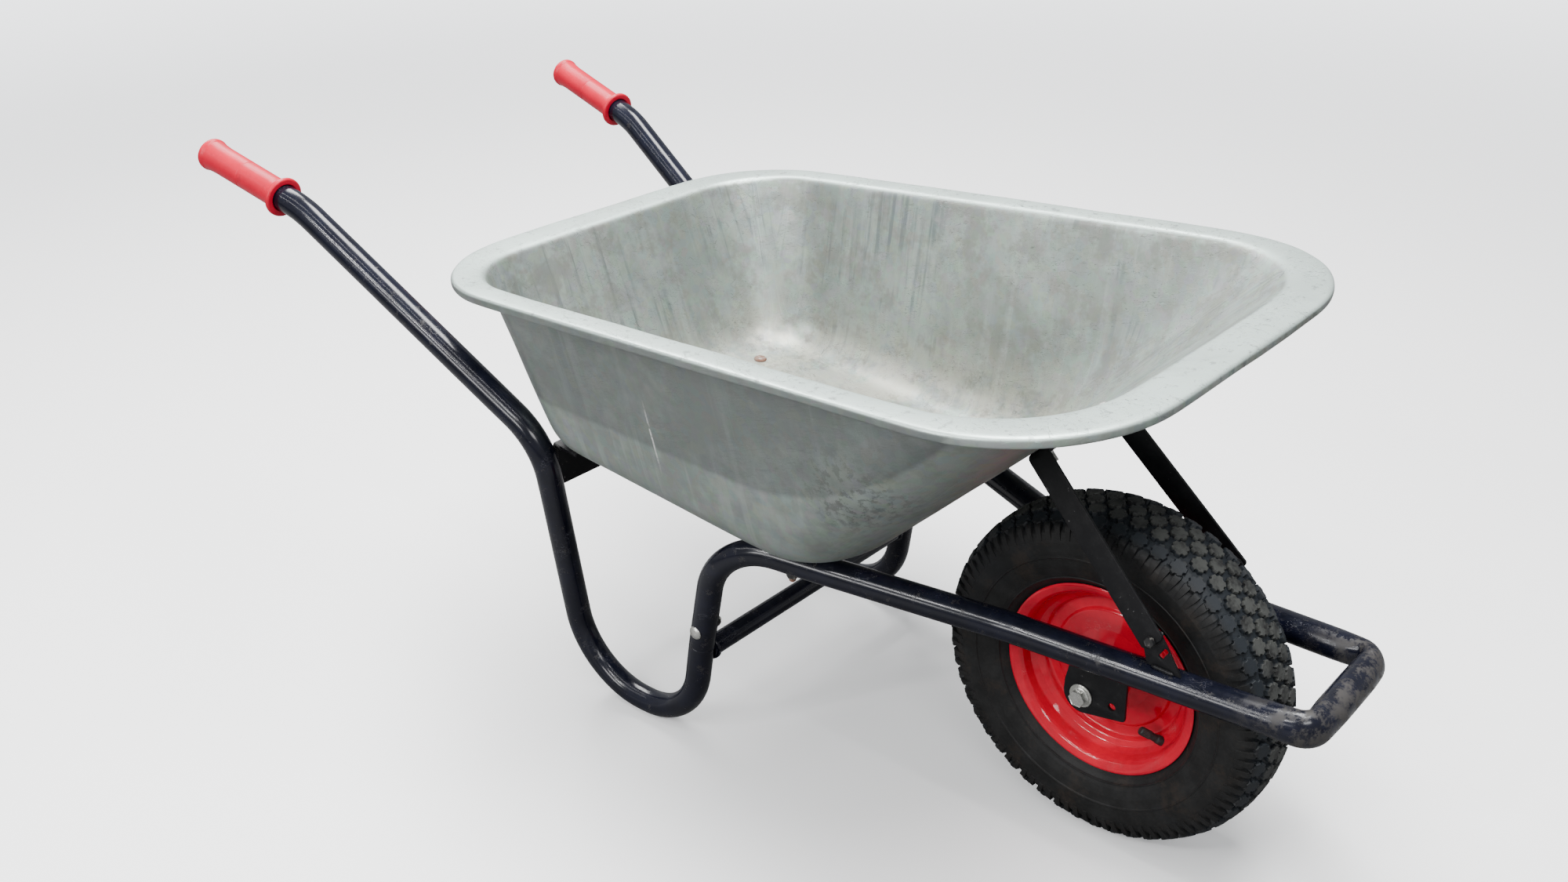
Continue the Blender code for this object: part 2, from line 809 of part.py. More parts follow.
VALVE_TURN = radians(41.6)
VALVE_BASE = (0.1012, -0.0062)
VALVE_TIP = (0.0760, -0.0232)


def build_wheel(build):
    """Everything that turns on the axle, parented to an empty whose local Z is the axle."""
    axle = bpy.data.objects.new("wheel_axle", None)
    build.parts.objects.link(axle)
    axle.location = (AXLE_X, 0, AXLE_Z)
    axle.rotation_euler = (-pi / 2, 0, 0)
    pieces = [build_tyre(build), build_inner_tube(build)]
    pieces += [build_rim_half(build, f"rim_half_{name}", side) for name, side in SIDE_NAMES]
    hub_bore = HUB_RADIUS - 0.003
    hub = [
        (HUB_RADIUS, HUB_HALF_LENGTH),
        (HUB_RADIUS, -HUB_HALF_LENGTH),
        (hub_bore, -HUB_HALF_LENGTH),
        (hub_bore, HUB_HALF_LENGTH),
    ]
    pieces.append(turned(build, "hub_tube", hub, "red_paint", steps=24, closed=True))
    for name, side in SIDE_NAMES:
        pieces.append(build_bush(build, f"hub_bush_{name}", side, hub_bore))
    pieces += build_valve(build)
    for piece in pieces:
        piece.parent = axle
    bpy.context.view_layer.update()
    drill_valve_hole(build, axle, "rim_half_right", 0.0066, wheel_point(0.0935, -0.0115))
    drill_valve_hole(build, axle, "inner_tube", 0.0025, wheel_point(0.1040, -0.0040))


def drill_valve_hole(build, axle, name, radius, centre):
    """A hole for the valve, from the wheel's middle plane out past the sheet that it crosses."""
    target = bpy.data.objects[name]
    line = wheel_point(*VALVE_TIP) - wheel_point(*VALVE_BASE)
    turn = line.to_track_quat("Z", "Y").to_matrix().to_4x4()
    place = axle.matrix_world @ Matrix.Translation(centre) @ turn
    cut(build, target, f"{name}_valve_hole", rod_mesh(name, radius, 0.016), place)


def build_bush(build, name, side, hub_bore):
    """A flanged nylon bush pressed into one end of the hub."""
    outer, bore = hub_bore - GAP, SLEEVE_RADIUS + 0.0003
    face = HUB_HALF_LENGTH + GAP
    profile = [
        (HUB_RADIUS + 0.002, face + 0.003),
        (HUB_RADIUS + 0.002, face),
        (outer, face),
        (outer, face - 0.018),
        (bore, face - 0.018),
        (bore, face + 0.003),
    ]
    if side < 0:
        profile = [(radius, -height) for radius, height in reversed(profile)]
    return turned(build, name, profile, "nylon", steps=24, closed=True)


def build_valve(build):
    """The valve's rubber stem and its screwed cap, leaning out of the rim well."""
    base, tip = wheel_point(*VALVE_BASE), wheel_point(*VALVE_TIP)
    length = (tip - base).length
    stem = [
        (0, length),
        (0.0030, length),
        (0.0040, length - 0.0100),
        (0.0052, length - 0.0140),
        (0.0060, 0.0020),
        (0.0060, 0),
        (0, 0),
    ]
    valve = turned(build, "valve_stem", stem, "soft_rubber", steps=SIDES)
    aim(valve, base, tip - base)
    cap = [
        (0, 0.0080),
        (0.0040, 0.0080),
        (0.0048, 0.0068),
        (0.0048, -0.0055),
        (0.0043, -0.0060),
        (0.0036, -0.0060),
        (0.0036, 0.0010),
        (0, 0.0010),
    ]
    cover = turned(build, "valve_cap", cap, "soft_rubber", steps=SIDES)
    aim(cover, tip, tip - base)
    return [valve, cover]


def build_axle(build):
    """The axle bolt with its washers and nut, and the sleeve that the hub turns on."""
    face = BRACKET_FACE + GAP
    washer_sheet = 0.002
    middle = Vector((AXLE_X, 0, AXLE_Z))
    left = Vector((0, 1, 0))
    seat = face + washer_sheet + GAP
    length = seat + BRACKET_FACE + 0.016
    hex_bolt(build, "axle_bolt", M10, length, middle - left * seat, left)
    nut(build, "axle_nut", (M10[0], M10[1], 0.008), middle + left * seat, left)
    for name, side in SIDE_NAMES:
        outward = left * side
        washer(
            build,
            f"axle_washer_{name}",
            0.0135,
            M10[0] + GAP,
            washer_sheet,
            middle + outward * face,
            outward,
        )
    reach = BRACKET_FACE - BRACKET_SHEET - GAP
    bore = M10[0] + GAP
    sleeve = [
        (SLEEVE_RADIUS, reach),
        (SLEEVE_RADIUS, -reach),
        (bore, -reach),
        (bore, reach),
    ]
    tube = turned(build, "axle_sleeve", sleeve, "zinc", steps=24, closed=True)
    tube.location = middle
    tube.rotation_euler = (-pi / 2, 0, 0)


# ---------------------------------------------------------------- bolts of the frame and tray


def build_side_bolts(build, name, side):
    """The bolts and nuts that hold one side of the frame and of the tray together."""
    outward = Vector((0, side, 0))
    joint = joint_centre(side)
    skin = TUBE_RADIUS + GAP
    dome = (M8[0], M8[1], 0.0040)
    cup_bolt(
        build, f"joint_bolt_{name}", dome, 0.045, joint + outward * skin, -outward
    )
    nut(build, f"joint_nut_{name}", M8, joint - outward * skin, -outward)

    foot, _, _, normal, _ = strut_frame(side)
    flat = normal * (side if normal.y > 0 else -side)
    near = foot + flat * (STRUT_SHEET / 2 + GAP)
    hex_bolt(build, f"strut_foot_bolt_{name}", M6, 0.020, near, -flat)
    far = foot - flat * (STRUT_SHEET * 1.5 + 2 * GAP)
    nut(build, f"strut_foot_nut_{name}", M6, far, -flat)

    fold = strut_bolt_point(side)
    inside = fold + WALL_NORMAL * (STRUT_SHEET / 2 + TRAY_SHEET + 3 * GAP)
    cup_bolt(build, f"strut_tray_bolt_{name}", dome, 0.022, inside, -WALL_NORMAL)
    below = fold - WALL_NORMAL * (STRUT_SHEET / 2 + GAP)
    nut(build, f"strut_tray_nut_{name}", M8, below, -WALL_NORMAL)

    up = FLOOR_NORMAL
    for place, (x, y), depth in (
        ("rear", REAR_BOLT, 0.004),
        ("front", FRONT_BOLT, 0.0355),
    ):
        under = world((x, y, floor_height(x)), side)
        top = under + up * (TRAY_SHEET + GAP)
        cup_bolt(build, f"tray_bolt_{place}_{name}", dome, depth + 0.014, top, -up)
        seat = under - up * (depth + 3 * GAP)
        nut(build, f"tray_nut_{place}_{name}", M8, seat, -up)


def main():
    clear_scene()
    build = Build()
    build_tray(build)
    build_front_tube(build)
    build_brace(build)
    build_cross_member(build)
    for name, side in SIDE_NAMES:
        build_side_tube(build, f"handle_leg_tube_{name}", side)
        build_axle_bracket(build, f"axle_bracket_{name}", side)
        build_strut_tab(build, f"strut_tab_{name}", side)
        build_strut(build, f"strut_{name}", side)
        build_grip(build, f"grip_{name}", side)
        build_side_bolts(build, name, side)
    build_wheel(build)
    build_axle(build)


main()
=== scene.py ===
"""A builder's wheelbarrow: galvanised tray, bolted tubular frame and one pneumatic wheel.

The file is laid out as a Blender add-on and is run as a script. Each operator builds one piece, or
a group of like pieces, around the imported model. Everything is in metres, with +X forwards to the
wheel, +Y to the operator's left and +Z up, and each piece's object sits at the origin.
"""

import json
from math import ceil, copysign, cos, exp, pi, radians, sin, sqrt, tan

import bmesh
import bpy
from mathutils import Matrix, Vector, noise

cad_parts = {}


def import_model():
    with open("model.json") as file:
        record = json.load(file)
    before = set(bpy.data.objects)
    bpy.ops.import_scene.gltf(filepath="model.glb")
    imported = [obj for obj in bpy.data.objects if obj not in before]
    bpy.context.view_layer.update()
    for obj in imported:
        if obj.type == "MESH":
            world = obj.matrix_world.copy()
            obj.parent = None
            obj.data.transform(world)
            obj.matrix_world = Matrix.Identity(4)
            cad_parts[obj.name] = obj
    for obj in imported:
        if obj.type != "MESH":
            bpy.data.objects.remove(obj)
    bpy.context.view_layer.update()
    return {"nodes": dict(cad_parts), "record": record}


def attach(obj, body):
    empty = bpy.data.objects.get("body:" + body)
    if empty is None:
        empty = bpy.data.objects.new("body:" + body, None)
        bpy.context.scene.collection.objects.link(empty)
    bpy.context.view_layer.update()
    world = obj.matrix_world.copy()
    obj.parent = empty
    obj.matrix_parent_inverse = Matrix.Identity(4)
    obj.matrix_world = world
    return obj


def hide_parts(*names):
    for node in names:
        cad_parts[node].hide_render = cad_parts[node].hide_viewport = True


bl_info = {
    "name": "Builder's wheelbarrow", "version": (1, 0, 0), "blender": (4, 5, 0),
    "location": "3D View > Sidebar > Wheelbarrow",
    "description": "Builds a wheelbarrow: pressed tray, tubular frame and pneumatic wheel",
    "category": "Add Mesh",
}

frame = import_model()
AXLE = Vector(frame["record"]["behaviour"]["joints"][0]["pos_m"])
SIDES = (("left", 1), ("right", -1))
GAP = 0.0003  # left between pieces that touch

# Corners of the tubes' centre lines, as (x from the axle, y, z)
HANDLE_END = (-1.1790, 0.2857, 0.6268)
GRIP_FACE = (-1.0502, 0.2725, 0.5920)
HANDLE_BEND = (-1.0186, 0.2692, 0.5833)
LEG_TOP = (-0.6635, 0.2230, 0.3555)
LEG_FOOT_X = -0.6560
RISER_FOOT_X = -0.4716
JOINT_SEAM = (-0.4461, 0.1925, 0.1435)
SWAGED_END = (-0.4357, 0.1917, 0.1950)
RISER_TOP = (-0.4090, 0.1905, 0.3015)
ARM_BEND = (-0.0750, 0.0905, 0.2660)
NOSE_CORNER = (0.2533, 0.0760, 0.2770)
TUBE_WALL = 0.0016
END_RECESS = 0.004
JOINT_BOLT_Z = 0.168
BRACE_Z = 0.128

# Tray: heights of the floor's underside and of the rim plane along x from the axle
FLOOR_RISE = -0.092
FLOOR_HEIGHT = 0.3104
FLOOR_X = -0.300
RIM_RISE = 0.0615
RIM_HEIGHT = 0.6015
WALL_FOOT_X = -0.2463
WALL_HEAD_X = 0.0790
REAR_BOLT = (-0.647, 0.135)
FRONT_BOLT = (-0.318, 0.1624)

BRACKET_FACE = 0.0680
BRACKET_SHEET = 0.004
STRUT_FOOT = (0.0865, 0.0883, 0.3170)
STRUT_LEAN = -0.0175
STRUT_WIDTH = 0.0295
STRUT_SHEET = 0.003
STRUT_DROP = 0.009  # from the wall's square-on point down to the strut's head
STRUT_BOLT_INSET = 0.016

VALVE_TURN = radians(41.6)
VALVE_BASE = (0.1012, -0.0062)
VALVE_TIP = (0.0760, -0.0232)

# Fasteners: shank radius, width across flats, head height
M6 = (0.003, 0.010, 0.004)
M8 = (0.004, 0.013, 0.0053)
M10 = (0.005, 0.017, 0.0064)

CROWN = ((0.1955, 0.0), (0.1943, 0.0170), (0.1912, 0.0300), (0.1862, 0.0400))  # radius, |y|
TREAD_PITCH = 0.0172
BLOCK_RADIUS = 0.0101
BLOCK_ROOT = 0.0025
TREAD_CROWN = 0.0004


# ---------------------------------------------------------------- settings


def length_setting(name, description, default):
    return bpy.props.FloatProperty(
        name=name, description=description, default=default, unit="LENGTH"
    )


def share_setting(name, description, default):
    return bpy.props.FloatProperty(
        name=name, description=description, default=default, subtype="FACTOR"
    )


def count_setting(name, description, default, least):
    return bpy.props.IntProperty(name=name, description=description, default=default, min=least)


def colour_setting(name, description, default):
    return bpy.props.FloatVectorProperty(
        name=name, description=description, default=default, subtype="COLOR"
    )


class TraySettings(bpy.types.PropertyGroup):
    """Sizes and colour of the tray."""

    sheet: length_setting("Sheet", "Thickness of the steel", 0.0011)
    lip: length_setting("Lip", "Depth of the turned edge", 0.0085)
    ripple: length_setting("Ripple", "Unevenness of the pressing", 0.0009)
    colour: colour_setting("Zinc", "Colour of the clean galvanised sheet", (0.340, 0.385, 0.357))


class FrameSettings(bpy.types.PropertyGroup):
    """Sizes and colour of the tubular frame."""

    tube_radius: length_setting("Tube radius", "Radius of the main tubes", 0.0167)
    brace_radius: length_setting("Brace radius", "Radius of the leg brace", 0.0125)
    slim: share_setting("Leg thickness", "Radius of the legs, as a share of the handles'", 0.92)
    nose_squash: share_setting("Nose squash", "How far the tube closes in the nose's corners", 0.28)
    colour: colour_setting("Enamel", "Colour of the frame's enamel", (0.0024, 0.0029, 0.0076))


class WheelSettings(bpy.types.PropertyGroup):
    """Sizes and colours of the wheel."""

    tread_rows: count_setting("Tread rows", "Rows of blocks across the tread", 5, 1)
    blocks: count_setting("Blocks", "Blocks in each row", 50, 12)
    ribs: count_setting("Ribs", "Ribs round each shoulder", 90, 12)
    block_height: length_setting("Block height", "Depth of the tread", 0.0045)
    rim_colour: colour_setting("Rim enamel", "Colour of the rim's enamel", (0.62, 0.004, 0.026))


class GripSettings(bpy.types.PropertyGroup):
    """Sizes and colour of the grips."""

    length: length_setting("Length", "Length of a grip", 0.143)
    colour: colour_setting("Plastic", "Colour of the grips' plastic", (0.470, 0.0015, 0.0220))


def settings(name):
    return getattr(bpy.context.scene, "barrow_" + name)


# ---------------------------------------------------------------- points and routes


def world(point, side=1):
    """A point given from the axle, on the left (1) or the right (-1), in the object's frame."""
    return Vector((point[0] + AXLE.x, point[1] * side, point[2]))


def floor_height(x):
    return FLOOR_HEIGHT + FLOOR_RISE * (x - FLOOR_X)


def rim_height(x):
    return RIM_HEIGHT + RIM_RISE * x


FLOOR_NORMAL = Vector((-FLOOR_RISE, 0, 1)).normalized()
WALL_FOOT = Vector((WALL_FOOT_X, 0, floor_height(WALL_FOOT_X)))
WALL_HEAD = Vector((WALL_HEAD_X, 0, rim_height(WALL_HEAD_X)))
WALL_NORMAL = (WALL_HEAD - WALL_FOOT).cross(Vector((0, 1, 0))).normalized()


def strut_frame(side):
    """Foot and head of a strut's middle line, its direction, its flat's normal and its width."""
    foot = world(STRUT_FOOT, side)
    drop = world(WALL_FOOT) - foot
    reach = drop.dot(WALL_NORMAL) - STRUT_SHEET / 2 - GAP
    head = foot + WALL_NORMAL * reach + Vector((0, STRUT_LEAN * side, 0))
    head += (WALL_FOOT - WALL_HEAD).normalized() * STRUT_DROP
    line = (head - foot).normalized()
    across = line.cross(Vector((0, 1, 0))).normalized()
    return foot, head, line, line.cross(across), across


def strut_bolt_point(side):
    """Middle of the strut's folded end, where its bolt goes through the tray."""
    return strut_frame(side)[1] - Vector((0, STRUT_BOLT_INSET * side, 0))


def joint_centre(side):
    """Where the joint bolt crosses the riser's centre line."""
    low, high = world(JOINT_SEAM, side), world(RISER_TOP, side)
    return low.lerp(high, (JOINT_BOLT_Z - low.z) / (high.z - low.z))


def bend(before, corner, after, radius, steps):
    """Points of the arc that rounds a corner of a route."""
    back = (before - corner).normalized()
    ahead = (after - corner).normalized()
    half = back.angle(ahead) / 2
    reach = radius / tan(half)
    centre = corner + (back + ahead).normalized() * (radius / sin(half))
    start = corner + back * reach - centre
    end = corner + ahead * reach - centre
    total = pi - 2 * half
    for k in range(steps + 1):
        share = k / steps
        mixed = start * sin((1 - share) * total) + end * sin(share * total)
        yield centre + mixed / sin(total)


def rounded(corners, radii, step=radians(5)):
    """A route through its corners, each rounded to its radius, or left sharp at 0."""
    points = [corners[0]]
    for k, radius in enumerate(radii, 1):
        before, corner, after = corners[k - 1 : k + 2]
        turn = pi - (before - corner).angle(after - corner)
        if radius:
            points.extend(bend(before, corner, after, radius, max(2, ceil(turn / step))))
        else:
            points.append(corner)
    points.append(corners[-1])
    return points


def even(points, pitch):
    """The same route with extra points, so that none of its gaps is much over a pitch."""
    filled = [points[0]]
    for start, end in zip(points, points[1:]):
        count = max(1, round((end - start).length / pitch))
        filled.extend(start.lerp(end, k / count) for k in range(1, count + 1))
    return filled


def fillet(profile, radius, step=radians(15)):
    """A flat (u, v) profile with every inner corner rounded as far as its neighbours allow."""
    corners = [Vector((u, v, 0)) for u, v in profile]
    radii = []
    for before, corner, after in zip(corners, corners[1:], corners[2:]):
        back, ahead = before - corner, after - corner
        turn = back.angle(ahead)
        room = 0.42 * min(back.length, ahead.length) * tan(turn / 2)
        radii.append(0 if pi - turn < radians(4) else min(radius, room))
    return [(p.x, p.y) for p in rounded(corners, radii, step)]


# ---------------------------------------------------------------- meshes and pieces


def to_object(name, shape, smooth=35):
    """Ends a bmesh: merges its doubles, points its faces outwards and makes its object."""
    bmesh.ops.remove_doubles(shape, verts=shape.verts, dist=0.000005)
    bmesh.ops.recalc_face_normals(shape, faces=shape.faces)
    mesh = bpy.data.meshes.new(name)
    shape.to_mesh(mesh)
    shape.free()
    mesh.shade_smooth()
    mesh.set_sharp_from_angle(angle=radians(smooth))
    obj = bpy.data.objects.new(name, mesh)
    bpy.context.scene.collection.objects.link(obj)
    return obj


def finish_piece(obj, body, slot, finish, *nodes):
    """Gives a piece its finish and its body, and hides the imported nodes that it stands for."""
    obj.data.materials.clear()
    obj.data.materials.append(material_of(finish))
    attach(obj, body)
    if nodes:
        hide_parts(*nodes)
    return obj


def thicken(obj, sheet, offset):
    """Turns a drawn surface into a sheet of steel."""
    wall = obj.modifiers.new("sheet", "SOLIDIFY")
    wall.thickness, wall.offset = sheet, offset
    return wall


def break_edges(obj, width, angle):
    """Rounds off the edges that are sharper than an angle in degrees."""
    edge = obj.modifiers.new("edges", "BEVEL")
    edge.width, edge.segments = width, 2
    edge.limit_method, edge.angle_limit = "ANGLE", radians(angle)


def stand(position, direction, up=Vector((0, 0, 1))):
    """Matrix with local Z along a direction and local X as near as it goes to an up vector."""
    z = Vector(direction).normalized()
    x = (up - z * up.dot(z)).normalized()
    turn = Matrix((x, z.cross(x), z)).transposed().to_4x4()
    turn.translation = position
    return turn


def pulled(shape, edges):
    """Extrudes edges, and gives the new vertices and the new edges between them."""
    grown = bmesh.ops.extrude_edge_only(shape, edges=edges)["geom"]
    fresh = [item for item in grown if isinstance(item, bmesh.types.BMVert)]
    sides = [item for item in grown if isinstance(item, bmesh.types.BMEdge)]
    return fresh, [edge for edge in sides if all(vert in fresh for vert in edge.verts)]


def sweep(shape, points, section, segments=32, up=Vector((0, 0, 1)), caps=True):
    """Extrudes a ring along a route. section(k) is its (radius along up, radius across up), and
    the up vector is carried along without twisting."""
    before = None
    ring = bmesh.ops.create_circle(shape, segments=segments, radius=1)["verts"]
    edges = list({edge for vert in ring for edge in vert.link_edges})
    if caps:
        bmesh.ops.edgeloop_fill(shape, edges=edges)
    for k, point in enumerate(points):
        ahead = points[min(k + 1, len(points) - 1)]
        behind = points[max(k - 1, 0)]
        # The ring lies in the plane that halves the corner, so a bend keeps its thickness.
        tangent = ahead - behind
        if 0 < k < len(points) - 1:
            tangent = (ahead - point).normalized() + (point - behind).normalized()
        tangent.normalize()
        up = (up - tangent * up.dot(tangent)).normalized()
        tall, wide = section(k)
        place = stand(point, tangent, up) @ Matrix.Diagonal((tall, wide, 1, 1))
        if before is None:
            bmesh.ops.transform(shape, matrix=place, verts=ring)
        else:
            ring, edges = pulled(shape, edges)
            bmesh.ops.transform(shape, matrix=place @ before.inverted(), verts=ring)
        before = place
    if caps:
        bmesh.ops.edgeloop_fill(shape, edges=edges)


def turned(shape, profile, place, steps=48):
    """Spins an open (radius, height) profile round local Z, and puts it in place."""
    before = set(shape.verts)
    verts = [shape.verts.new((radius, 0, height)) for radius, height in profile]
    edges = [shape.edges.new(pair) for pair in zip(verts, verts[1:])]
    bmesh.ops.spin(
        shape, geom=verts + edges, cent=(0, 0, 0), axis=(0, 0, 1), angle=2 * pi, steps=steps,
        use_merge=True,
    )
    made = [vert for vert in shape.verts if vert not in before]
    bmesh.ops.transform(shape, matrix=place, verts=made)


def closed(profile):
    return list(profile) + [profile[0]]


def flat_plate(name, outlines, thickness, place, edge=0.0004):
    """A plate with holes, drawn in its own plane, with softly broken edges."""
    curve = bpy.data.curves.new(name, "CURVE")
    curve.dimensions = "2D"
    curve.fill_mode = "BOTH"
    curve.extrude = thickness / 2
    for outline in outlines:
        spline = curve.splines.new("POLY")
        spline.points.add(len(outline) - 1)
        for target, (u, v) in zip(spline.points, outline):
            target.co = (u, v, 0, 1)
        spline.use_cyclic_u = True
    drawn = bpy.data.objects.new(name, curve)
    bpy.context.scene.collection.objects.link(drawn)
    bpy.context.view_layer.update()
    graph = bpy.context.evaluated_depsgraph_get()
    mesh = bpy.data.meshes.new_from_object(drawn.evaluated_get(graph))
    bpy.data.objects.remove(drawn, do_unlink=True)
    shape = bmesh.new()
    shape.from_mesh(mesh)
    bmesh.ops.remove_doubles(shape, verts=shape.verts, dist=0.00001)
    bmesh.ops.dissolve_limit(shape, angle_limit=radians(0.5), verts=shape.verts, edges=shape.edges)
    rim = [item for item in shape.edges if item.calc_face_angle(0) > radians(60)]
    rim = [item for item in rim if any(abs(face.normal.z) > 0.9 for face in item.link_faces)]
    bmesh.ops.bevel(
        shape, geom=rim, offset=edge, segments=2, profile=0.5, affect="EDGES", material=-1
    )
    bmesh.ops.transform(shape, matrix=place, verts=shape.verts)
    bpy.data.meshes.remove(mesh)
    return to_object(name, shape)


def ring_of(radius, count, centre=(0, 0)):
    turns = (2 * pi * k / count for k in range(count))
    return [(centre[0] + radius * cos(a), centre[1] + radius * sin(a)) for a in turns]


def bead_of_weld(
    name, points, radius, finish, up=Vector((0, 0, 1)), body="frame", slot="frame_paint"
):
    """A weld: a rippled, rounded run of metal along a route."""
    run = even([Vector(point) for point in points], 0.0011)
    last = len(run) - 1

    def section(k):
        ripple = 1 + 0.10 * sin(k * 2 * pi / 3.0) + 0.12 * noise.noise(run[k] * 260)
        ends = min(1, sqrt(max(0.02, min(k, last - k) / 2.5)))
        return radius * ripple * ends, radius * ripple * ends

    shape = bmesh.new()
    sweep(shape, run, section, segments=10, up=up)
    return finish_piece(to_object(name, shape, 60), body, slot, finish)


def refinish(node, finish):
    """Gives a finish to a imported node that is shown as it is."""
    materials = frame["nodes"][node].data.materials
    materials.clear()
    materials.append(material_of(finish))


# ---------------------------------------------------------------- node helpers


def add_node(tree, kind, inputs=None, **properties):
    """Adds a node, sets its properties, and links or sets its inputs."""
    made = tree.nodes.new(kind)
    for name, value in properties.items():
        setattr(made, name, value)
    for key, value in (inputs or {}).items():
        socket = made.inputs[key]
        if isinstance(value, bpy.types.NodeSocket):
            tree.links.new(value, socket)
        else:
            socket.default_value = value
    return made


def math(tree, operation, first, second=0.0, clamp=False):
    made = add_node(
        tree, "ShaderNodeMath", {0: first, 1: second}, operation=operation, use_clamp=clamp
    )
    return made.outputs[0]


def map_range(tree, value, low, high, to_low=0.0, to_high=1.0, smooth=True):
    made = add_node(
        tree, "ShaderNodeMapRange",
        {"Value": value, "From Min": low, "From Max": high, "To Min": to_low, "To Max": to_high},
        interpolation_type="SMOOTHSTEP" if smooth else "LINEAR",
    )
    return made.outputs["Result"]


def mix_colour(tree, factor, first, second, blend="MIX"):
    made = tree.nodes.new("ShaderNodeMix")
    made.data_type = "RGBA"
    made.blend_type = blend
    for key, value in (("Factor_Float", factor), ("A_Color", first), ("B_Color", second)):
        socket = next(item for item in made.inputs if item.identifier == key)
        if isinstance(value, bpy.types.NodeSocket):
            tree.links.new(value, socket)
        elif isinstance(value, (int, float)):
            socket.default_value = value
        else:
            socket.default_value = (*value, 1) if len(value) == 3 else value
    return next(item for item in made.outputs if item.identifier == "Result_Color")


def noise_of(tree, vector, scale, detail=4.0, roughness=0.55, distortion=0.0):
    made = add_node(
        tree, "ShaderNodeTexNoise",
        {
            "Vector": vector, "Scale": scale, "Detail": detail, "Roughness": roughness,
            "Distortion": distortion,
        },
    )
    return made.outputs["Fac"]


def stretched(tree, vector, scale):
    """The same coordinates, stretched by a factor along each axis."""
    made = add_node(tree, "ShaderNodeVectorMath", {0: vector, 1: scale}, operation="MULTIPLY")
    return made.outputs[0]


def new_group(name, inputs, outputs):
    """An empty node group. inputs holds (name, kind, default), and outputs holds (name, kind)."""
    tree = bpy.data.node_groups.new(name, "ShaderNodeTree")
    for label, kind, default in inputs:
        socket = tree.interface.new_socket(label, in_out="INPUT", socket_type=kind)
        if default is not None:
            socket.default_value = default
    for label, kind in outputs:
        tree.interface.new_socket(label, in_out="OUTPUT", socket_type=kind)
    return tree, tree.nodes.new("NodeGroupInput"), tree.nodes.new("NodeGroupOutput")


VECTOR = "NodeSocketVector"
FLOAT = "NodeSocketFloat"


def patches_group():
    """Soft-edged patches with a broken outline."""
    tree, inside, outside = new_group(
        "Patches",
        [
            ("Vector", VECTOR, None), ("Scale", FLOAT, 8.0), ("Low", FLOAT, 0.5),
            ("High", FLOAT, 0.7),
        ],
        [("Mask", FLOAT)],
    )
    broad = noise_of(tree, inside.outputs["Vector"], inside.outputs["Scale"], 3)
    fine_scale = math(tree, "MULTIPLY", inside.outputs["Scale"], 6.0)
    fine = noise_of(tree, inside.outputs["Vector"], fine_scale, 5, 0.65)
    both = math(tree, "ADD", broad, math(tree, "MULTIPLY", math(tree, "SUBTRACT", fine, 0.5), 0.5))
    mask = map_range(tree, both, inside.outputs["Low"], inside.outputs["High"])
    tree.links.new(mask, outside.inputs["Mask"])
    return tree


def scratches_group():
    """Short fine scratches that cluster in places."""
    tree, inside, outside = new_group(
        "Scratches", [("Vector", VECTOR, None), ("Scale", FLOAT, 30.0), ("Amount", FLOAT, 0.5)],
        [("Mask", FLOAT)],
    )
    total = None
    for turn, stretch in ((0.4, (1, 1, 9)), (1.5, (8, 1, 1)), (2.4, (1, 7, 2))):
        turned_vector = add_node(
            tree, "ShaderNodeMapping",
            {"Vector": inside.outputs["Vector"], "Rotation": (turn, turn * 0.7, turn * 1.3)},
        ).outputs[0]
        lines = noise_of(
            tree, stretched(tree, turned_vector, stretch), inside.outputs["Scale"], 2, 0.4
        )
        ridge = math(tree, "ABSOLUTE", math(tree, "SUBTRACT", lines, 0.5))
        thin = map_range(tree, ridge, 0.0, 0.006, 1.0, 0.0, smooth=False)
        total = thin if total is None else math(tree, "MAXIMUM", total, thin)
    place = noise_of(tree, inside.outputs["Vector"], 22.0, 3)
    limit = math(tree, "SUBTRACT", 0.78, math(tree, "MULTIPLY", inside.outputs["Amount"], 0.35))
    upper = math(tree, "ADD", limit, 0.06)
    where = map_range(tree, place, limit, upper)
    tree.links.new(math(tree, "MULTIPLY", total, where), outside.inputs["Mask"])
    return tree


def dust_group():
    """Dust that settles on faces that look up, broken by noise."""
    tree, inside, outside = new_group(
        "Dust",
        [
            ("Vector", VECTOR, None), ("Normal", VECTOR, None), ("Scale", FLOAT, 40.0),
            ("Amount", FLOAT, 0.5),
        ],
        [("Mask", FLOAT)],
    )
    height = add_node(tree, "ShaderNodeSeparateXYZ", {0: inside.outputs["Normal"]}).outputs["Z"]
    upward = map_range(tree, height, -0.3, 1.0)
    speck = noise_of(tree, inside.outputs["Vector"], inside.outputs["Scale"], 6, 0.7)
    mask = map_range(tree, speck, 0.35, 0.75)
    mask = math(tree, "MULTIPLY", mask, upward)
    mask = math(tree, "MULTIPLY", mask, inside.outputs["Amount"], clamp=True)
    tree.links.new(mask, outside.inputs["Mask"])
    return tree


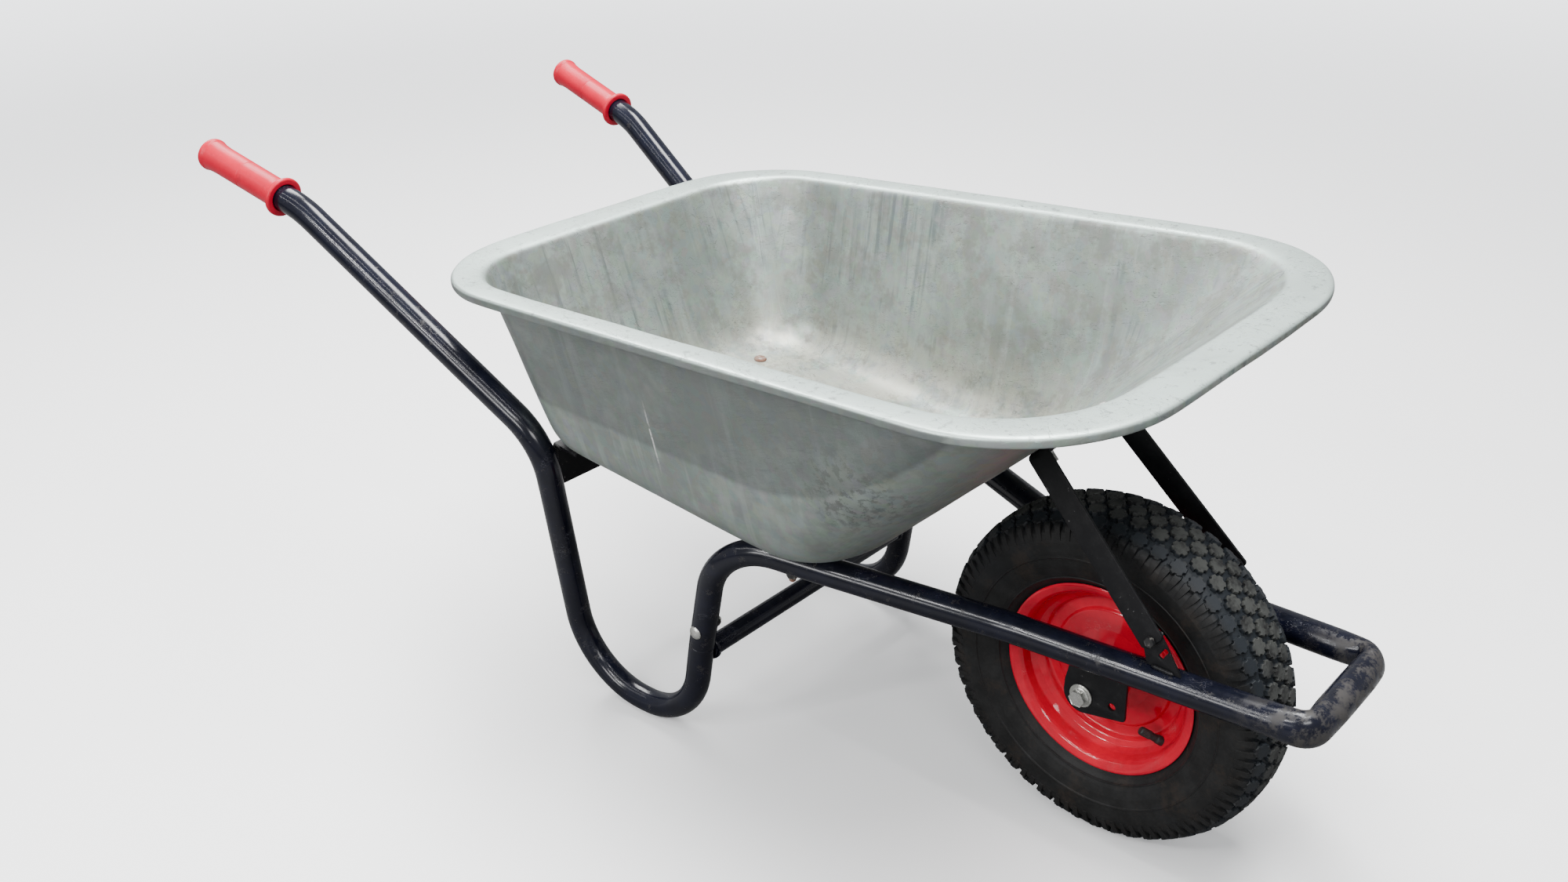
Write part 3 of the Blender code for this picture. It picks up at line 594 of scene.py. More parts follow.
def streaks_group():
    """Long faint runs down a sheet, varying across it and hardly at all down it."""
    tree, inside, outside = new_group(
        "Streaks",
        [
            ("Vector", VECTOR, None), ("Scale", FLOAT, 30.0), ("Low", FLOAT, 0.4),
            ("High", FLOAT, 0.7),
        ],
        [("Mask", FLOAT)],
    )
    along = stretched(tree, inside.outputs["Vector"], (1.0, 1.0, 0.05))
    runs = noise_of(tree, along, inside.outputs["Scale"], 5, 0.6, 0.15)
    breaks = noise_of(tree, inside.outputs["Vector"], 9.0, 3)
    mask = map_range(tree, runs, inside.outputs["Low"], inside.outputs["High"])
    mask = math(tree, "MULTIPLY", mask, map_range(tree, breaks, 0.35, 0.6))
    tree.links.new(mask, outside.inputs["Mask"])
    return tree


GROUP_MAKERS = {
    "Patches": patches_group, "Scratches": scratches_group, "Dust": dust_group,
    "Streaks": streaks_group,
}


def group(name):
    return bpy.data.node_groups.get(name) or GROUP_MAKERS[name]()


class Finish:
    """A material under construction, with the coordinates and masks that finishes share."""

    def __init__(self, name):
        self.material = bpy.data.materials.new(name)
        self.material.use_nodes = True
        self.tree = self.material.node_tree
        self.shader = self.tree.nodes["Principled BSDF"]
        place = self.tree.nodes.new("ShaderNodeTexCoord")
        self.vector = place.outputs["Object"]
        self.normal = place.outputs["Normal"]

    def mask(self, name, **inputs):
        inputs.setdefault("Vector", self.vector)
        made = add_node(self.tree, "ShaderNodeGroup", inputs, node_tree=group(name))
        return made.outputs["Mask"]

    def patches(self, scale, low, high):
        return self.mask("Patches", Scale=scale, Low=low, High=high)

    def scratches(self, scale, amount):
        return self.mask("Scratches", Scale=scale, Amount=amount)

    def dust(self, scale, amount):
        return self.mask("Dust", Normal=self.normal, Scale=scale, Amount=amount)

    def streaks(self, scale, low, high):
        """Runs that hang straight down whichever wall they are on."""
        tree = self.tree
        turn = add_node(tree, "ShaderNodeSeparateXYZ", {0: self.normal})
        sideways = math(tree, "ABSOLUTE", turn.outputs["Y"])
        endways = math(tree, "ABSOLUTE", turn.outputs["X"])
        on_side = map_range(tree, math(tree, "SUBTRACT", sideways, endways), -0.25, 0.25)
        on_end = math(tree, "SUBTRACT", 1.0, on_side)
        parts = {
            "X": self.times(self.axis("X"), on_side), "Y": self.times(self.axis("Y"), on_end),
            "Z": self.axis("Z"),
        }
        hung = add_node(tree, "ShaderNodeCombineXYZ", parts).outputs[0]
        return self.mask("Streaks", Vector=hung, Scale=scale, Low=low, High=high)

    def axis(self, letter):
        split = add_node(self.tree, "ShaderNodeSeparateXYZ", {0: self.vector})
        return split.outputs[letter]

    def axle_distance(self):
        """Distance from the axle's line, in metres."""
        away = add_node(
            self.tree, "ShaderNodeVectorMath", {0: self.vector, 1: tuple(AXLE)},
            operation="SUBTRACT",
        ).outputs[0]
        flat = stretched(self.tree, away, (1, 0, 1))
        return add_node(
            self.tree, "ShaderNodeVectorMath", {0: flat}, operation="LENGTH"
        ).outputs["Value"]

    def near(self, point, inner, outer):
        """1 inside a ball about a point, fading to 0 at its outer radius."""
        away = add_node(
            self.tree, "ShaderNodeVectorMath", {0: self.vector, 1: tuple(point)},
            operation="DISTANCE",
        ).outputs["Value"]
        return map_range(self.tree, away, outer, inner)

    def times(self, *factors):
        total = factors[0]
        for factor in factors[1:]:
            total = math(self.tree, "MULTIPLY", total, factor)
        return total

    def mix(self, factor, first, second, blend="MIX"):
        return mix_colour(self.tree, factor, first, second, blend)

    def value(self, factor, low, high):
        return map_range(self.tree, factor, 0.0, 1.0, low, high, smooth=False)

    def bump(self, *layers):
        """Stacks (height socket, depth in metres) layers into the shader's normal."""
        normal = None
        for height, depth in layers:
            inputs = {"Height": height, "Distance": depth, "Strength": 1.0}
            if normal:
                inputs["Normal"] = normal
            normal = add_node(self.tree, "ShaderNodeBump", inputs).outputs["Normal"]
        self.tree.links.new(normal, self.shader.inputs["Normal"])

    def set(self, **sockets):
        for name, value in sockets.items():
            socket = self.shader.inputs[name.replace("_", " ")]
            if isinstance(value, bpy.types.NodeSocket):
                self.tree.links.new(value, socket)
            elif isinstance(value, (int, float)):
                socket.default_value = value
            else:
                socket.default_value = (*value, 1)
        return self.material


# ---------------------------------------------------------------- finishes


def galvanised_finish():
    """Worn zinc on the tray: clouded, streaked down the walls, stained and scuffed inside."""
    finish = Finish("galvanised tray")
    tree = finish.tree
    colour = tuple(settings("tray").colour)
    dark = tuple(0.72 * part for part in colour)
    x, y, z = (finish.axis(letter) for letter in "XYZ")
    turn = add_node(tree, "ShaderNodeSeparateXYZ", {0: finish.normal})
    facing = finish.times(turn.outputs["Y"], math(tree, "SIGN", y))
    outside = map_range(tree, facing, 0.10, 0.35)
    inside = map_range(tree, facing, 0.30, 0.05)
    upward = map_range(tree, turn.outputs["Z"], 0.05, 0.55)
    cloud = finish.patches(7.0, 0.38, 0.66)
    base = finish.mix(cloud, dark, colour)
    spangle = add_node(
        tree, "ShaderNodeTexVoronoi", {"Vector": finish.vector, "Scale": 95.0}
    ).outputs["Color"]
    base = finish.mix(0.06, base, spangle, "OVERLAY")
    runs = finish.streaks(60.0, 0.48, 0.66)
    base = finish.mix(finish.times(runs, 0.40), base, (0.42, 0.47, 0.45))
    wet = finish.times(finish.streaks(95.0, 0.50, 0.62), finish.patches(6.0, 0.42, 0.56))
    base = finish.mix(finish.times(wet, inside, 0.62), base, (0.10, 0.125, 0.14))
    brown = finish.times(finish.patches(20.0, 0.46, 0.66), inside, 0.46)
    base = finish.mix(brown, base, (0.178, 0.168, 0.148))

    # The floor and the foot of the walls are rubbed pale and tinged with clay.
    low = map_range(tree, z, 0.43, 0.345)
    rubbed = finish.times(low, inside, finish.patches(18.0, 0.30, 0.60))
    base = finish.mix(finish.times(rubbed, 0.60), base, (0.44, 0.43, 0.36))
    grime = finish.times(finish.patches(34.0, 0.54, 0.70), low, inside, 0.5)
    base = finish.mix(grime, base, (0.15, 0.14, 0.12))

    # Outside, the upper part of the side walls is painted darker, as painted shade standing for the
    # shadow that the rim's flange casts there, and its roughness is lowered.
    ahead = math(tree, "MAXIMUM", math(tree, "SUBTRACT", x, AXLE.x - 0.33), 0.0)
    flange_shadow_edge = math(tree, "ADD", finish.times(ahead, ahead, 1.65), 0.420)
    skin = map_range(tree, math(tree, "SUBTRACT", z, flange_shadow_edge), -0.004, 0.004)
    skin = finish.times(skin, outside)
    base = finish.mix(finish.times(skin, 0.50), base, (0.115, 0.125, 0.125))
    corner = finish.near(world((-0.165, -0.235, 0.455)), 0.01, 0.095)
    scuffs = finish.times(finish.patches(105.0, 0.50, 0.60), corner, outside, 0.50)
    base = finish.mix(scuffs, base, (0.075, 0.075, 0.07))

    # The rim's upward face is painted the palest part, as a painted highlight of the light from
    # above.
    plane = math(tree, "ADD", finish.times(math(tree, "SUBTRACT", x, AXLE.x), RIM_RISE), RIM_HEIGHT)
    lip = map_range(tree, math(tree, "SUBTRACT", z, plane), -0.0045, -0.0005)
    lip = finish.times(lip, upward)
    base = finish.mix(finish.times(lip, 0.80), base, (0.54, 0.64, 0.60))
    nicks = finish.times(finish.patches(90.0, 0.62, 0.70), lip, 0.5)
    base = finish.mix(nicks, base, (0.16, 0.17, 0.17))
    scratches = finish.scratches(30.0, 0.95)
    base = finish.mix(finish.times(scratches, inside, 0.75), base, (0.06, 0.065, 0.065))
    mark = finish.near(world((-0.445, -0.236, 0.435)), 0.002, 0.055)
    line = map_range(
        tree, math(tree, "ABSOLUTE", math(tree, "SUBTRACT", x, AXLE.x - 0.447)), 0.0018, 0.0008
    )
    white = finish.times(mark, line, outside, finish.patches(120.0, 0.36, 0.50))
    base = finish.mix(white, base, (0.75, 0.76, 0.74))
    rough = math(tree, "SUBTRACT", finish.value(cloud, 0.50, 0.42), finish.times(skin, 0.08))
    finish.bump(
        (noise_of(tree, finish.vector, 420.0, 3), 0.00004),
        (noise_of(tree, finish.vector, 30.0, 4), 0.00035), (scratches, -0.00010),
    )
    return finish.set(Base_Color=base, Roughness=rough, Metallic=0.65)


def enamel_finish():
    """Gloss navy enamel on the tubes, with road dust on top and scuffs on what gets knocked."""
    finish = Finish("tube enamel")
    colour = tuple(settings("frame").colour)
    base = finish.mix(finish.patches(30.0, 0.35, 0.8), colour, tuple(1.9 * part for part in colour))
    dust = finish.dust(55.0, 0.065)
    base = finish.mix(dust, base, (0.07, 0.075, 0.11))
    nose = map_range(finish.tree, finish.axis("X"), AXLE.x + 0.16, AXLE.x + 0.245)
    worn = finish.times(finish.patches(64.0, 0.42, 0.64), nose)
    spots = finish.times(finish.patches(75.0, 0.62, 0.72), 0.45)
    marks = math(finish.tree, "MAXIMUM", worn, spots)
    base = finish.mix(finish.times(marks, 0.72), base, (0.046, 0.042, 0.038))
    scratches = finish.scratches(48.0, 0.55)
    base = finish.mix(finish.times(scratches, 0.5), base, (0.12, 0.12, 0.14))
    rough = math(
        finish.tree, "ADD", finish.value(marks, 0.17, 0.60), finish.times(dust, 0.5), clamp=True
    )
    finish.bump((noise_of(finish.tree, finish.vector, 90.0, 2), 0.00003), (scratches, -0.00004))
    return finish.set(Base_Color=base, Roughness=rough, Specular_IOR_Level=0.42)


def powder_finish():
    """Satin black coat on the flat steel, with pale specks where it is chipped."""
    finish = Finish("satin plate enamel")
    chips = finish.patches(190.0, 0.73, 0.76)
    dust = finish.dust(90.0, 0.14)
    base = finish.mix(finish.patches(45.0, 0.4, 0.8), (0.005, 0.005, 0.006), (0.011, 0.011, 0.012))
    base = finish.mix(dust, base, (0.045, 0.044, 0.042))
    base = finish.mix(chips, base, (0.14, 0.14, 0.14))
    finish.bump((noise_of(finish.tree, finish.vector, 900.0, 2), 0.00005))
    rough = finish.value(dust, 0.40, 0.65)
    return finish.set(Base_Color=base, Roughness=rough, Specular_IOR_Level=0.22)


def rim_finish():
    """Gloss red enamel on the wheel, with a little dust in its hollows."""
    finish = Finish("rim enamel")
    colour = tuple(settings("wheel").rim_colour)
    deep = tuple(0.72 * part for part in colour)
    base = finish.mix(finish.patches(16.0, 0.3, 0.8), colour, deep)
    dust = finish.times(finish.patches(48.0, 0.55, 0.85), 0.14)
    base = finish.mix(dust, base, (0.36, 0.12, 0.11))
    scratches = finish.scratches(60.0, 0.30)
    base = finish.mix(finish.times(scratches, 0.4), base, (0.75, 0.35, 0.33))
    finish.bump((noise_of(finish.tree, finish.vector, 75.0, 2), 0.00008))
    return finish.set(
        Base_Color=base, Roughness=finish.value(dust, 0.09, 0.7), Specular_IOR_Level=0.45
    )


def grip_finish():
    """Soft red plastic with a faint moulded haze and hand dirt."""
    finish = Finish("grip plastic")
    colour = tuple(settings("grip").colour)
    base = finish.mix(finish.patches(34.0, 0.3, 0.8), colour, tuple(1.2 * part for part in colour))
    dirt = finish.times(finish.patches(70.0, 0.60, 0.80), 0.35)
    base = finish.mix(dirt, base, (0.20, 0.02, 0.025))
    finish.bump((noise_of(finish.tree, finish.vector, 600.0, 3), 0.00004))
    return finish.set(
        Base_Color=base, Roughness=finish.value(dirt, 0.36, 0.7), Specular_IOR_Level=0.30
    )


def tyre_finish():
    """Black rubber: blue-grey dust in the grooves, worn block tops, earth on the side walls."""
    finish = Finish("tyre rubber")
    away = finish.axle_distance()
    height = settings("wheel").block_height
    rubber = finish.mix(
        finish.patches(40.0, 0.3, 0.8), (0.007, 0.007, 0.007), (0.015, 0.015, 0.015)
    )
    across = math(finish.tree, "ABSOLUTE", finish.axis("Y"))
    tread = map_range(finish.tree, across, 0.047, 0.036)
    tops = finish.times(map_range(finish.tree, away, 0.1955, 0.1985), tread)
    grooves = finish.times(
        map_range(finish.tree, away, 0.200 - 0.4 * height, 0.200 - height), tread
    )
    grooves = finish.times(grooves, map_range(finish.tree, away, 0.17, 0.187))
    base = finish.mix(finish.times(grooves, 0.75), rubber, (0.014, 0.018, 0.023))
    wear = finish.times(tops, finish.patches(60.0, 0.25, 0.6))
    base = finish.mix(wear, base, (0.048, 0.050, 0.047))
    earth = finish.times(
        finish.patches(30.0, 0.50, 0.75), map_range(finish.tree, away, 0.19, 0.16), 0.6
    )
    base = finish.mix(earth, base, (0.028, 0.020, 0.015))
    haze = finish.times(finish.patches(12.0, 0.45, 0.75), 0.35)
    base = finish.mix(haze, base, (0.014, 0.016, 0.019))
    finish.bump(
        (noise_of(finish.tree, finish.vector, 260.0, 4), 0.00012),
        (noise_of(finish.tree, finish.vector, 1300.0, 2), 0.00003),
    )
    rough = finish.value(wear, 0.56, 0.78)
    return finish.set(Base_Color=base, Roughness=rough, Specular_IOR_Level=0.24)


def plain_finish(name, under, over, grain, rough, metallic=0.0):
    """Two colours mixed in patches, a third in patches over them, and a fine grain. The
    roughness follows one of the two sets of patches, between two values."""
    finish = Finish(name)
    spread, first, second = under
    masks = {"under": finish.patches(*spread)}
    base = finish.mix(masks["under"], first, second)
    if over:
        spread, strength, colour = over
        masks["over"] = finish.patches(*spread)
        base = finish.mix(finish.times(masks["over"], strength), base, colour)
    scale, detail, depth = grain
    finish.bump((noise_of(finish.tree, finish.vector, scale, detail), depth))
    followed, low, high = rough
    rough = finish.value(masks[followed], low, high)
    return finish.set(Base_Color=base, Roughness=rough, Metallic=metallic)


PLAIN_FINISHES = {
    "rubber": (
        "moulded rubber", ((90.0, 0.45, 0.8), (0.010, 0.010, 0.010), (0.040, 0.038, 0.036)), None,
        (900.0, 3, 0.00004), ("under", 0.5, 0.5),
    ),
    "zinc": (
        "zinc plate", ((130.0, 0.40, 0.65), (0.62, 0.62, 0.59), (0.42, 0.42, 0.39)),
        ((210.0, 0.66, 0.74), 0.7, (0.22, 0.13, 0.07)), (700.0, 3, 0.00004), ("under", 0.26, 0.48),
        0.85,
    ),
    "dull": (
        "blackened steel", ((60.0, 0.4, 0.7), (0.008, 0.008, 0.009), (0.020, 0.019, 0.018)),
        ((160.0, 0.62, 0.74), 1.0, (0.20, 0.19, 0.17)), (700.0, 3, 0.00004), ("over", 0.45, 0.35),
    ),
    "rusty": (
        "rusted bolt", ((150.0, 0.35, 0.6), (0.14, 0.06, 0.035), (0.20, 0.13, 0.10)),
        ((240.0, 0.55, 0.7), 1.0, (0.34, 0.32, 0.28)), (600.0, 4, 0.00012), ("under", 0.72, 0.72),
        0.1,
    ),
    "nylon": (
        "bush nylon", ((90.0, 0.45, 0.65), (0.62, 0.59, 0.50), (0.26, 0.22, 0.15)), None,
        (500.0, 2, 0.00003), ("under", 0.45, 0.25),
    ),
}
FINISHES = {
    "galvanised": galvanised_finish, "enamel": enamel_finish, "powder": powder_finish,
    "rim": rim_finish, "grip": grip_finish, "tyre": tyre_finish,
}
made_finishes = {}


def material_of(name):
    if name not in made_finishes:
        plain = PLAIN_FINISHES.get(name)
        made_finishes[name] = plain_finish(*plain) if plain else FINISHES[name]()
    return made_finishes[name]


# ---------------------------------------------------------------- tray


def half_outline(rear, front, half_width, rear_radius, front_radius, bow=0.0):
    """Half of a tray outline, from the middle of the rear to the middle of the front, as (x, y)."""
    wide_rear, wide_front = half_width
    corners = [
        Vector((rear, -wide_rear, 0)), Vector((rear, wide_rear, 0)), Vector((front, wide_front, 0)),
        Vector((front, -wide_front, 0)),
    ]
    rear_arc = list(bend(*corners[0:3], rear_radius, 8))
    front_arc = list(bend(*corners[1:4], front_radius, 9))
    middle_rear = Vector((rear, 0, 0))
    middle_front = Vector((front, 0, 0))
    points = [middle_rear, middle_rear.lerp(rear_arc[0], 0.5), *rear_arc]
    points += [rear_arc[-1].lerp(front_arc[0], share) for share in (0.2, 0.4, 0.6, 0.8)]
    points += [*front_arc, front_arc[-1].lerp(middle_front, 0.5), middle_front]
    span = front - rear
    rounded_points = []
    for point in points:
        ahead = max(0.0, (point.x - rear) / span)
        pull = bow * (abs(point.y) / wide_front) ** 2 * ahead**4
        rounded_points.append((point.x - pull, point.y))
    return rounded_points


def on_plane(outline, height):
    return [Vector((x, y, height(x))) for x, y in outline]


def between(row, other, share):
    return [a.lerp(b, share) for a, b in zip(row, other)]


def eased(row, corner, other, share):
    """A row of the smooth bend that leaves one row and joins another, past a corner row."""
    return between(between(row, corner, share), between(corner, other, share), share)


def lifted(row, height):
    return [point + Vector((0, 0, height)) for point in row]


def tray_rows(lip, side):
    """Rows of one half of the tray's underside, from the floor's middle to the rolled hem."""
    foot = on_plane(half_outline(-0.693, WALL_FOOT_X, (0.219, 0.219), 0.085, 0.085), floor_height)
    flat = on_plane(
        half_outline(-0.658, WALL_FOOT_X - 0.030, (0.177, 0.177), 0.045, 0.045), floor_height
    )
    # The rim is knocked a few millimetres out of true, so its halves differ.
    if side > 0:
        top, rim = ((0.261, 0.282), 0.106, 0.148), ((0.2917, 0.3171), 0.142, 0.194)
    else:
        top, rim = ((0.257, 0.282), 0.120, 0.132), ((0.2867, 0.3185), 0.162, 0.159)
    head = on_plane(half_outline(-0.761, WALL_HEAD_X, *top, 0.005), rim_height)
    edge = on_plane(half_outline(-0.8077, 0.1257, *rim, 0.0015), rim_height)
    spine = [Vector((point.x, 0, point.z)) for point in flat]
    low = between(foot, head, 0.17)
    high = between(foot, head, 0.962)
    brow = between(head, edge, 0.22)
    rows = [spine, between(spine, flat, 0.5), between(spine, flat, 0.93), flat]
    rows += [eased(flat, foot, low, share) for share in (0.2, 0.4, 0.6, 0.8)]
    rows += [low, between(foot, head, 0.40), between(foot, head, 0.66), high]
    rows += [eased(high, head, brow, share) for share in (0.2, 0.45, 0.7)]
    rows += [brow, lifted(between(head, edge, 0.50), 0.0008)]
    rows += [lifted(between(head, edge, 0.80), 0.0008)]
    hem = ((0.94, 0.0004), (0.985, -0.0006), (1.0, -0.28 * lip), (1.0, -0.65 * lip))
    hem += ((0.99, -0.92 * lip), (0.955, -1.02 * lip), (0.915, -0.85 * lip), (0.91, -0.5 * lip))
    rows += [lifted(between(head, edge, share), rise) for share, rise in hem]
    return rows


def dents():
    """Knocks in the pressing: (centre, radius, depth in metres, positive into the tray)."""
    return (
        (world((-0.660, 0.190, 0.370)), 0.017, 0.0040),
        (world((-0.672, 0.165, 0.390)), 0.016, -0.0020),
        (world((-0.30, -0.2200, 0.345)), 0.045, 0.0016),
        (world((-0.22, -0.1900, 0.370)), 0.040, 0.0018),
        (world((-0.50, -0.2480, 0.470)), 0.100, 0.0012),
        (world((-0.12, 0.1200, 0.450)), 0.080, -0.0015),
        (world((0.05, 0.2300, 0.560)), 0.060, 0.0010),
    )


class BARROW_OT_tray(bpy.types.Operator):
    """Draws the pressed tray as one sheet, with its rolled lip, its ripples and its knocks"""

    bl_idname = "barrow.tray"
    bl_label = "Tray"

    def execute(self, context):
        tray = settings("tray")
        shape = bmesh.new()
        for _, side in SIDES:
            rows = tray_rows(tray.lip, side)
            verts = [shape.verts.new(world(point, side)) for point in rows[0]]
            edges = [shape.edges.new(pair) for pair in zip(verts, verts[1:])]
            for row in rows[1:]:
                fresh, edges = pulled(shape, edges)
                for vert, point in zip(fresh, row):
                    vert.co = world(point, side)
        bmesh.ops.remove_doubles(shape, verts=shape.verts, dist=0.00002)
        bmesh.ops.dissolve_degenerate(shape, edges=shape.edges, dist=0.00001)
        cage = to_object("tray_pan", shape, 180)
        smoothing = cage.modifiers.new("smoothing", "SUBSURF")
        smoothing.levels = smoothing.render_levels = 2
        bpy.context.view_layer.update()
        graph = context.evaluated_depsgraph_get()
        mesh = bpy.data.meshes.new_from_object(cage.evaluated_get(graph))
        bpy.data.objects.remove(cage, do_unlink=True)
        shape = bmesh.new()
        shape.from_mesh(mesh)
        shape.normal_update()
        if sum(face.normal.z * face.calc_area() for face in shape.faces) > 0:
            bmesh.ops.reverse_faces(shape, faces=shape.faces)
            shape.normal_update()
        knocks = dents()
        moves = []
        for vert in shape.verts:
            wave = noise.noise(vert.co * 8) + 0.5 * noise.noise(vert.co * 19)
            # The floor stays flat, as it sits on the frame.
            above = (vert.co.z - floor_height(vert.co.x - AXLE.x)) / 0.05
            inward = wave * tray.ripple * min(1, max(0.08, above))
            for centre, radius, depth in knocks:
                away = (vert.co - centre).length / radius
                if away < 2.5:
                    inward += depth * exp(-(away**2))
            moves.append(vert.co - vert.normal * inward)
        for vert, place in zip(shape.verts, moves):
            vert.co = place
        mesh = bpy.data.meshes.new("tray_pan")
        shape.to_mesh(mesh)
        shape.free()
        mesh.shade_smooth()
        pan = bpy.data.objects.new("tray_pan", mesh)
        bpy.context.scene.collection.objects.link(pan)
        thicken(pan, tray.sheet, -1)
        finish_piece(pan, "frame", "galvanised", "galvanised", "tray")
        return {"FINISHED"}


# ---------------------------------------------------------------- frame


def nose_section(route, side_corners, radius, slim, squash):
    """Ring sizes along the front tube: thin in the risers, closed up in the nose's corners."""
    rear, ahead = world(RISER_TOP).x, world(RISER_TOP).x + 0.12

    def section(k):
        close = 0.0
        share = min(1, max(0, (route[k].x - rear) / (ahead - rear)))
        here = radius * (slim + (1 - slim) * share * share * (3 - 2 * share))
        for corner in side_corners:
            close = max(close, exp(-(((route[k] - corner).length / 0.021) ** 2)))
        return here * (1 + 0.14 * close), here * (1 - squash * close)

    return section


class BARROW_OT_front_tube(bpy.types.Operator):
    """Bends the front tube: riser, arm, nose bar, arm and riser, with its tight nose corners"""

    bl_idname = "barrow.front_tube"
    bl_label = "Front tube"

    def execute(self, context):
        frame_settings = settings("frame")
        radius = frame_settings.tube_radius
        half = [JOINT_SEAM, RISER_TOP, ARM_BEND, NOSE_CORNER]
        corners = [world(point, 1) for point in half]
        corners += [world(point, -1) for point in reversed(half)]
        radii = [0.085, 0.150, 0.0175, 0.0175, 0.150, 0.085]
        route = even(rounded(corners, radii, radians(4)), 0.012)
        nose = [world(NOSE_CORNER, side) + Vector((-0.008, -0.008 * side, 0)) for _, side in SIDES]
        shape = bmesh.new()
        slim, squash = frame_settings.slim, frame_settings.nose_squash
        section = nose_section(route, nose, radius, slim, squash)

        # The rings start with their up pointing back, so that it points up along the arm.
        sweep(shape, route, section, segments=36, up=Vector((-1, 0, 0)))
        ends = [face for face in shape.faces if len(face.verts) > 4]
        bmesh.ops.inset_region(shape, faces=ends, thickness=TUBE_WALL)
        for face in ends:
            bmesh.ops.translate(shape, vec=Vector((0, 0, END_RECESS)), verts=face.verts)
        tube = to_object("front_loop", shape, 50)
        finish_piece(tube, "frame", "frame_paint", "enamel", "front_frame_tube")
        return {"FINISHED"}


class BARROW_OT_side_tubes(bpy.types.Operator):
    """Bends the two side tubes: handle, leg, foot and lower riser, swaged where they plug in"""

    bl_idname = "barrow.side_tubes"
    bl_label = "Side tubes"

    def execute(self, context):
        radius = settings("frame").tube_radius
        slim = settings("frame").slim
        swaged = slim * radius - TUBE_WALL
        for name, side in SIDES:
            foot_rear = (LEG_FOOT_X, 0.1985, slim * radius)
            foot_front = (RISER_FOOT_X, 0.1945, slim * radius)
            named = (HANDLE_END, HANDLE_BEND, LEG_TOP, foot_rear, foot_front, JOINT_SEAM)
            corners = [world(point, side) for point in named]
            route = even(rounded(corners, [0.130, 0.090, 0.097, 0.097], radians(4)), 0.012)
            end = world(SWAGED_END, side)
            line = (end - route[-1]).normalized()
            seam = route[-1]
            shoulder = [seam - line * step for step in (0.0030, 0.0016, 0.0006, 0)]
            plug = [seam, seam + line * 0.0006, end]
            route = route[:-1] + shoulder + plug[1:]
            count = len(route)
            scale = {count - 3: 0.93, count - 4: 0.975, count - 5: 0.995}
            plugged = {count - 2, count - 1}

            def section(k):
                # The leg is drawn a little thinner than the handle.
                share = min(1, max(0, (route[k].z - 0.27) / 0.14))
                here = radius * (slim + (1 - slim) * share * share * (3 - 2 * share))
                here = swaged if k in plugged else here * scale.get(k, 1)
                return here, here

            shape = bmesh.new()
            sweep(shape, route, section, segments=36, up=Vector((0.25, 0, 1)))
            tube = to_object(f"side_tube_{name}", shape, 50)
            node = f"handle_leg_tube_{name}"
            finish_piece(tube, "frame", "frame_paint", "enamel", node)
        return {"FINISHED"}


class BARROW_OT_cross_tubes(bpy.types.Operator):
    """Makes the leg brace and the angle section under the tray, with the welds at their ends"""

    bl_idname = "barrow.cross_tubes"
    bl_label = "Brace and cross member"

    def execute(self, context):
        radius = settings("frame").brace_radius
        rise = (BRACE_Z - JOINT_SEAM[2]) / (SWAGED_END[2] - JOINT_SEAM[2])
        x = JOINT_SEAM[0] + rise * (SWAGED_END[0] - JOINT_SEAM[0])
        reach = JOINT_SEAM[1] - settings("frame").tube_radius + 0.004
        ends = [world((x, reach, BRACE_Z), side) for _, side in SIDES]
        shape = bmesh.new()
        sweep(shape, even(ends, 0.02), lambda k: (radius, radius), segments=28)
        brace = to_object("leg_brace", shape, 50)
        finish_piece(brace, "frame", "frame_paint", "enamel", "leg_brace_tube")
        for name, side in SIDES:
            centre = world((x, reach - 0.003, BRACE_Z), side)
            turns = [2 * pi * k / 30 for k in range(31)]
            loop = [
                centre
                + Vector(((radius + 0.001) * cos(a), -side * 0.0025 * cos(a) ** 2, 0))
                + Vector((0, 0, (radius + 0.001) * sin(a)))
                for a in turns
            ]
            bead_of_weld(f"brace_weld_{name}", loop, 0.0019, "enamel", Vector((0, 1, 0)))
        self.cross_member()
        return {"FINISHED"}

    def cross_member(self):
        width, depth, sheet = 0.040, 0.060, 0.004
        heel_x = -0.670
        outline = [
            (0, 0), (width, 0), (width, -sheet), (sheet + 0.004, -sheet),
            (sheet + 0.0012, -sheet - 0.0012), (sheet, -sheet - 0.004), (sheet, -depth),
            (0, -depth),
        ]
        half_length = 0.2022
        along = Vector((1, 0, FLOOR_RISE)).normalized()
        place = Matrix((along, FLOOR_NORMAL, along.cross(FLOOR_NORMAL))).transposed().to_4x4()
        place.translation = world((heel_x, 0, floor_height(heel_x) - GAP))
        angle = flat_plate("cross_angle", [outline], 2 * half_length, place, 0.0007)
        finish_piece(angle, "frame", "frame_paint", "powder", "rear_cross_member")
        for name, side in SIDES:
            top = world((heel_x + 0.002, half_length - 0.001, floor_height(heel_x) - 0.004), side)
            low = top - FLOOR_NORMAL * 0.054
            front = top + along * 0.012 + Vector((0, side * 0.001, 0))
            bead_of_weld(
                f"cross_weld_{name}", [low, top, front], 0.0030, "powder", Vector((0, 1, 0))
            )


def upright(side, y):
    """Matrix that stands a plate drawn in (x, z) in a plane of constant y."""
    place = Matrix.Rotation(pi / 2, 4, "X")
    place.translation = Vector((AXLE.x, side * y, 0))
    return place


